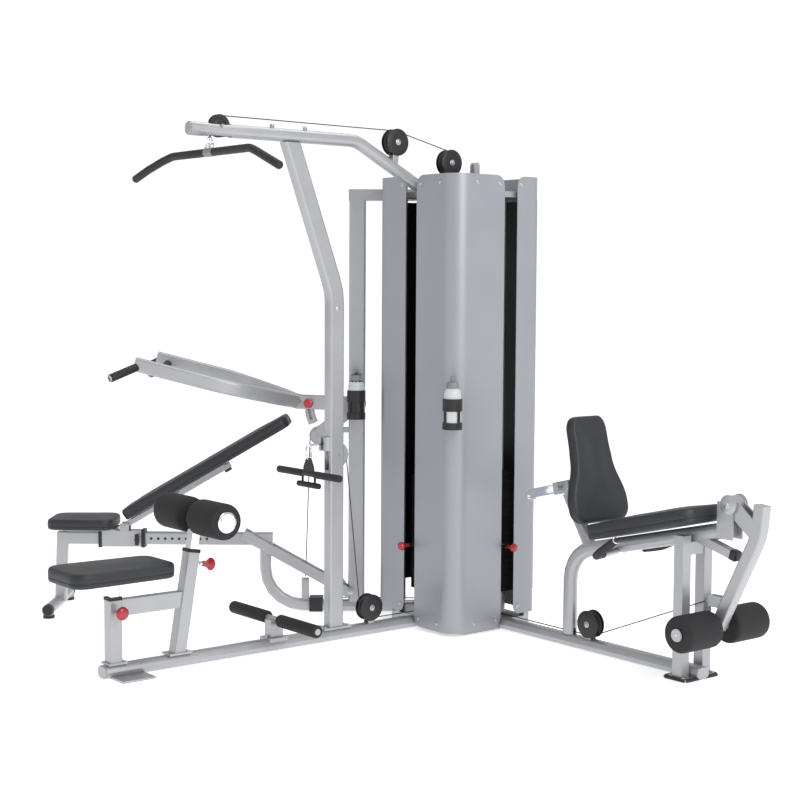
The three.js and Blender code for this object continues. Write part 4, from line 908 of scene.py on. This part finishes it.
def bench_along(d, rise):
    """Pair (s, z) a distance d up the bench's back from its hinge, and a rise off it."""
    return (1412 - math.cos(BENCH_LEAN) * d + math.sin(BENCH_LEAN) * rise,
            391 + math.sin(BENCH_LEAN) * d + math.cos(BENCH_LEAN) * rise)


cushion("lat_seat_pad", "lat_seat_cushion", LAT, ((1545, 408), (1992, 408)), 276, 64, 60,
        "lat_seat", crown=8, widths=((0, 0.9), (1, 1)))
cushion("leg_seat_pad", "leg_seat_cushion", LEG, ((898, 519), (1438, 654)), 340, 74, 70, "frame",
        crown=12, widths=((0, 1), (0.45, 0.98), (0.7, 0.94), (1, 0.96)))
cushion("bench_seat_pad", "bench_seat_cushion", PRESS, ((1450, 409), (1755, 409)), 270, 56, 55,
        "bench_slider", crown=8, widths=((0, 1), (1, 0.9)))
cushion("bench_long_pad", "bench_back_pad", PRESS,
        (bench_along(34, 47), bench_along(900, 47)), 270, 59, 55, "bench_back", crown=8,
        widths=((0, 1), (1, 0.86)))
cushion("leg_back_cushion", "leg_back_pad", LEG,
        (back_along(-182, -170), back_along(-182, 270)), 320, 58, 60, "leg_back", crown=13,
        widths=((0, 0.98), (0.2, 0.99), (0.58, 0.66), (0.75, 0.62), (1, 0.61)))


# ---- collars, plugs and bolts on the frames ----
LEG_PIVOT = (1532, 692)  # axle of the leg lever
FOOT_S = 1722  # bench's cross foot
RAIL_Z = 332  # middle of the bench rail

trim = Shape()
trim.collar(56, 42, 12, Matrix.Translation(at(LAT, SEAT_POST_S, 0, 298)) @ LAT.to_3x3().to_4x4())
knee_turn = Matrix.Translation(knee_spot(5, 0)) @ Matrix(
    (way(LAT, LEAN_Z, 0, LEAN_S), way(LAT, 0, 1, 0), way(LAT, -LEAN_S, 0, LEAN_Z))
).transposed().to_4x4()
trim.collar(56, 42, 13, knee_turn)
caps = Shape()
for plane, s, z, width, height in ((LAT, 1425, 2100, 46, 50), (LAT, 1812, 25, 66, 46),
                                   (LEG, 1398, 25, 66, 46)):
    caps.prism(rounded(width, height, min(width, height) / 2 - 2, 8), -1, 5,
               facing(plane, s, z), 2)
bumper_way = Vector((172, 0, -47)).normalized()
bumper = Matrix.Translation(at(LEG, 1552, 0, 498)) @ Matrix(
    (way(LEG, 0, 1, 0), way(LEG, 47, 0, 172), way(LEG, *bumper_way))).transposed().to_4x4()
trim.prism(rounded(39, 39, 6), -24, 5, bumper, 2)
trim.loft([[at(LEG, 1340 + x, y, z) for x, y in rounded(long, wide, 18, 5)]
           for long, wide, z in ((98, 178, 9), (98, 178, 12), (114, 194, 12), (118, 198, 9),
                                 (118, 198, 0.4), (98, 178, 0.4))], closed=True)
for side in (-1, 1):
    trim.lathe([(26, -16), (26, 0), (24, 4), (14, 6), (0, 6)], at(PRESS, FOOT_S, side * 226, 38),
               way(PRESS, 0, side, 0), 36)
    trim.lathe([(25.5, 0.3), (25.5, 13), (22, 16)], at(PRESS, FOOT_S, side * 205, 0), UP, 36)
    caps.lathe([(37, 0), (37, 3), (30, 7), (12, 8), (0, 8)],
               at(LEG, LEG_PIVOT[0], side * 32.3, LEG_PIVOT[1]), way(LEG, 0, side, 0), 40)
for i in range(9):
    for side in (-1, 1):
        trim.lathe([(6.5, -0.3), (6.5, 0.2), (0, 0.3)],
                   at(PRESS, 1290 - 32 * i, side * 23, RAIL_Z), way(PRESS, 0, side, 0), 20)
trim.prism(rounded(78, 64.6, 5), 0, 61, facing(PRESS, 502, 32.5), 1.5)
caps.make("tube_caps", SILVER, "frame", "silver_frame", sharp=40)
trim.make("black_trim", PLASTIC, "frame", "black_plastic", sharp=40)

slider = Shape()
COLLAR = 16
T_KNOB_S = 1350
hole, block = rounded(46.8, 56.8, 7), rounded(72, 82, 7)
for s in (1318, 1515):
    turn = facing(PRESS, s, RAIL_Z)
    slider.loft([placed(turn, hole, 0), placed(turn, block, 0), placed(turn, block, COLLAR),
                 placed(turn, hole, COLLAR)], closed=True)
slider.tube([at(PRESS, T_KNOB_S, 56, RAIL_Z), at(PRESS, T_KNOB_S, 64, RAIL_Z)], 11 * MM, 24)
slider.tube([at(PRESS, T_KNOB_S, 59, RAIL_Z - 26), at(PRESS, T_KNOB_S, 59, RAIL_Z + 26)],
            9.5 * MM, 24, 4 * MM)
slider.make("bench_slider_trim", PLASTIC, "bench_slider", "black_plastic", sharp=40)

peg_top = on(PRESS, bench_along(540, 0))
Shape().lathe([(17.5, 10), (17.5, 22), (15.5, 25), (0, 25)], peg_top,
              on(PRESS, bench_along(540, -1)) - peg_top, 32).make(
    "bench_peg", PLASTIC, "bench_back", "black_plastic", sharp=40)

fasteners = Shape()
for x in (-58, 58):
    for y in (-21, 21):
        fasteners.bolt(at(LAT, 727 + x, y, 59), UP, 7, 6)
for s in (1039, 877):
    fasteners.bolt(at(LAT, s, 0, 2135), UP, 8, 7)
for s in (SEAT_POST_S - 37, 1456):
    for y in (-26, 26):
        fasteners.bolt(at(LAT, s, y, 58.4), UP, 5, 5)
for side in (-1, 1):
    fasteners.bolt(at(LEG, LEG_PIVOT[0], side * 40.5, LEG_PIVOT[1]), way(LEG, 0, side, 0), 10, 7)
    fasteners.bolt(at(LAT, 727, side * 25, 1400), way(LAT, 0, side, 0), 7, 5)
    fasteners.bolt(at(PRESS, 374, side * 40, 96), way(PRESS, 0, side, 0), 10, 6)
    fasteners.bolt(at(PRESS, PRESS_PIVOT[0], side * 52, PRESS_PIVOT[1]),
                   way(PRESS, 0, side, 0), 13, 8)
for x, y in ((1305, 75), (1305, -75), (1375, 85), (1375, -85)):
    fasteners.bolt(at(LEG, x, y, 10), UP, 7, 6)
fasteners.make("frame_bolts", ZINC, "frame", "chrome")


# ---- bottles ----
def bottle(name, origin, body, nodes):
    """Sports bottle with a grey cap, its origin at the middle of the body."""
    Shape().lathe([(0, -82.5), (31, -82.5), (35, -80), (36.6, -74), (36.6, -20), (34.8, -12),
                   (34.8, 4), (36.6, 12), (36.6, 56), (34, 70), (29, 80), (26, 84)],
                  origin, UP, 48).make(
        f"{name}_body", BOTTLE, body, "bottle", nodes, sharp=45)
    Shape().lathe([(27, 83), (27.5, 86), (27.5, 100), (25, 108), (13, 112), (9.5, 114),
                   (9, 124), (10.5, 127), (10.5, 133), (8, 135.5), (0, 135.5)],
                  origin, UP, 40).make(
        f"{name}_cap", CAP, body, "black_plastic", sharp=40)


bottle("bottle_front", Vector((-0.022, -0.4448, 0.985)), "bottle_front", ("bottle_front",))

# The left bottle is one piece with its holder, so only its shoulder and cap are added.
left = at(PRESS, PRESS_PIVOT[0], 99, 985)
Shape().lathe([(36.9, 41), (37.2, 42), (37.2, 58), (34.5, 71), (29.5, 81), (26.5, 84.5),
               (24.5, 84.5)], left, UP, 48).make(
    "bottle_left_shoulder", BOTTLE, "frame", "bottle", sharp=45)
Shape().lathe([(27, 84), (27.5, 87), (27.5, 101), (25, 109), (13, 113), (9.5, 115), (9, 124),
               (10.5, 128), (10.5, 134), (8, 136.4), (0, 136.4)], left, UP, 40).make(
    "bottle_left_cap", CAP, "frame", "black_plastic", sharp=40)


# ---- floor and light ----
bpy.ops.mesh.primitive_plane_add(size=60, location=(0, 0, -0.0005))
floor = bpy.context.object
floor.name = "floor"
floor.data.materials.append(material("pale_floor", (0.86, 0.86, 0.865), 0.55, vary=0.01, patch=1,
                                     scale=60, bump=0.02, Emission_Color=(1, 1, 1, 1),
                                     Emission_Strength=0.56))

# The backdrop looks white, and lights the scene less brightly than it looks.
world = bpy.data.worlds.new("studio")
bpy.context.scene.world = world
world.use_nodes = True
backdrop = world.node_tree.nodes["Background"]
backdrop.inputs["Color"].default_value = (1, 1, 1, 1)
seen = world.node_tree.nodes.new("ShaderNodeLightPath")
strength = world.node_tree.nodes.new("ShaderNodeMapRange")
strength.inputs["To Min"].default_value = 0.6
strength.inputs["To Max"].default_value = 1.05
world.node_tree.links.new(seen.outputs["Is Camera Ray"], strength.inputs["Value"])
world.node_tree.links.new(strength.outputs["Result"], backdrop.inputs["Strength"])


def lamp(name, place, target, size, power):
    """Square area lamp aimed at a target."""
    data = bpy.data.lights.new(name, "AREA")
    data.size = size
    data.energy = power
    obj = bpy.data.objects.new(name, data)
    bpy.context.scene.collection.objects.link(obj)
    obj.location = place
    obj.rotation_euler = (Vector(target) - Vector(place)).to_track_quat("-Z", "Y").to_euler()


lamp("key", (4.4, -5.2, 4.2), (0, 0, 0.9), 3.6, 215)
lamp("fill", (-4.6, -3.6, 2.8), (0, 0, 0.9), 3.0, 10)
lamp("top", (0.2, 0.8, 5.4), (0, 0, 0.8), 3.4, 70)
bpy.context.scene.view_settings.view_transform = "Standard"
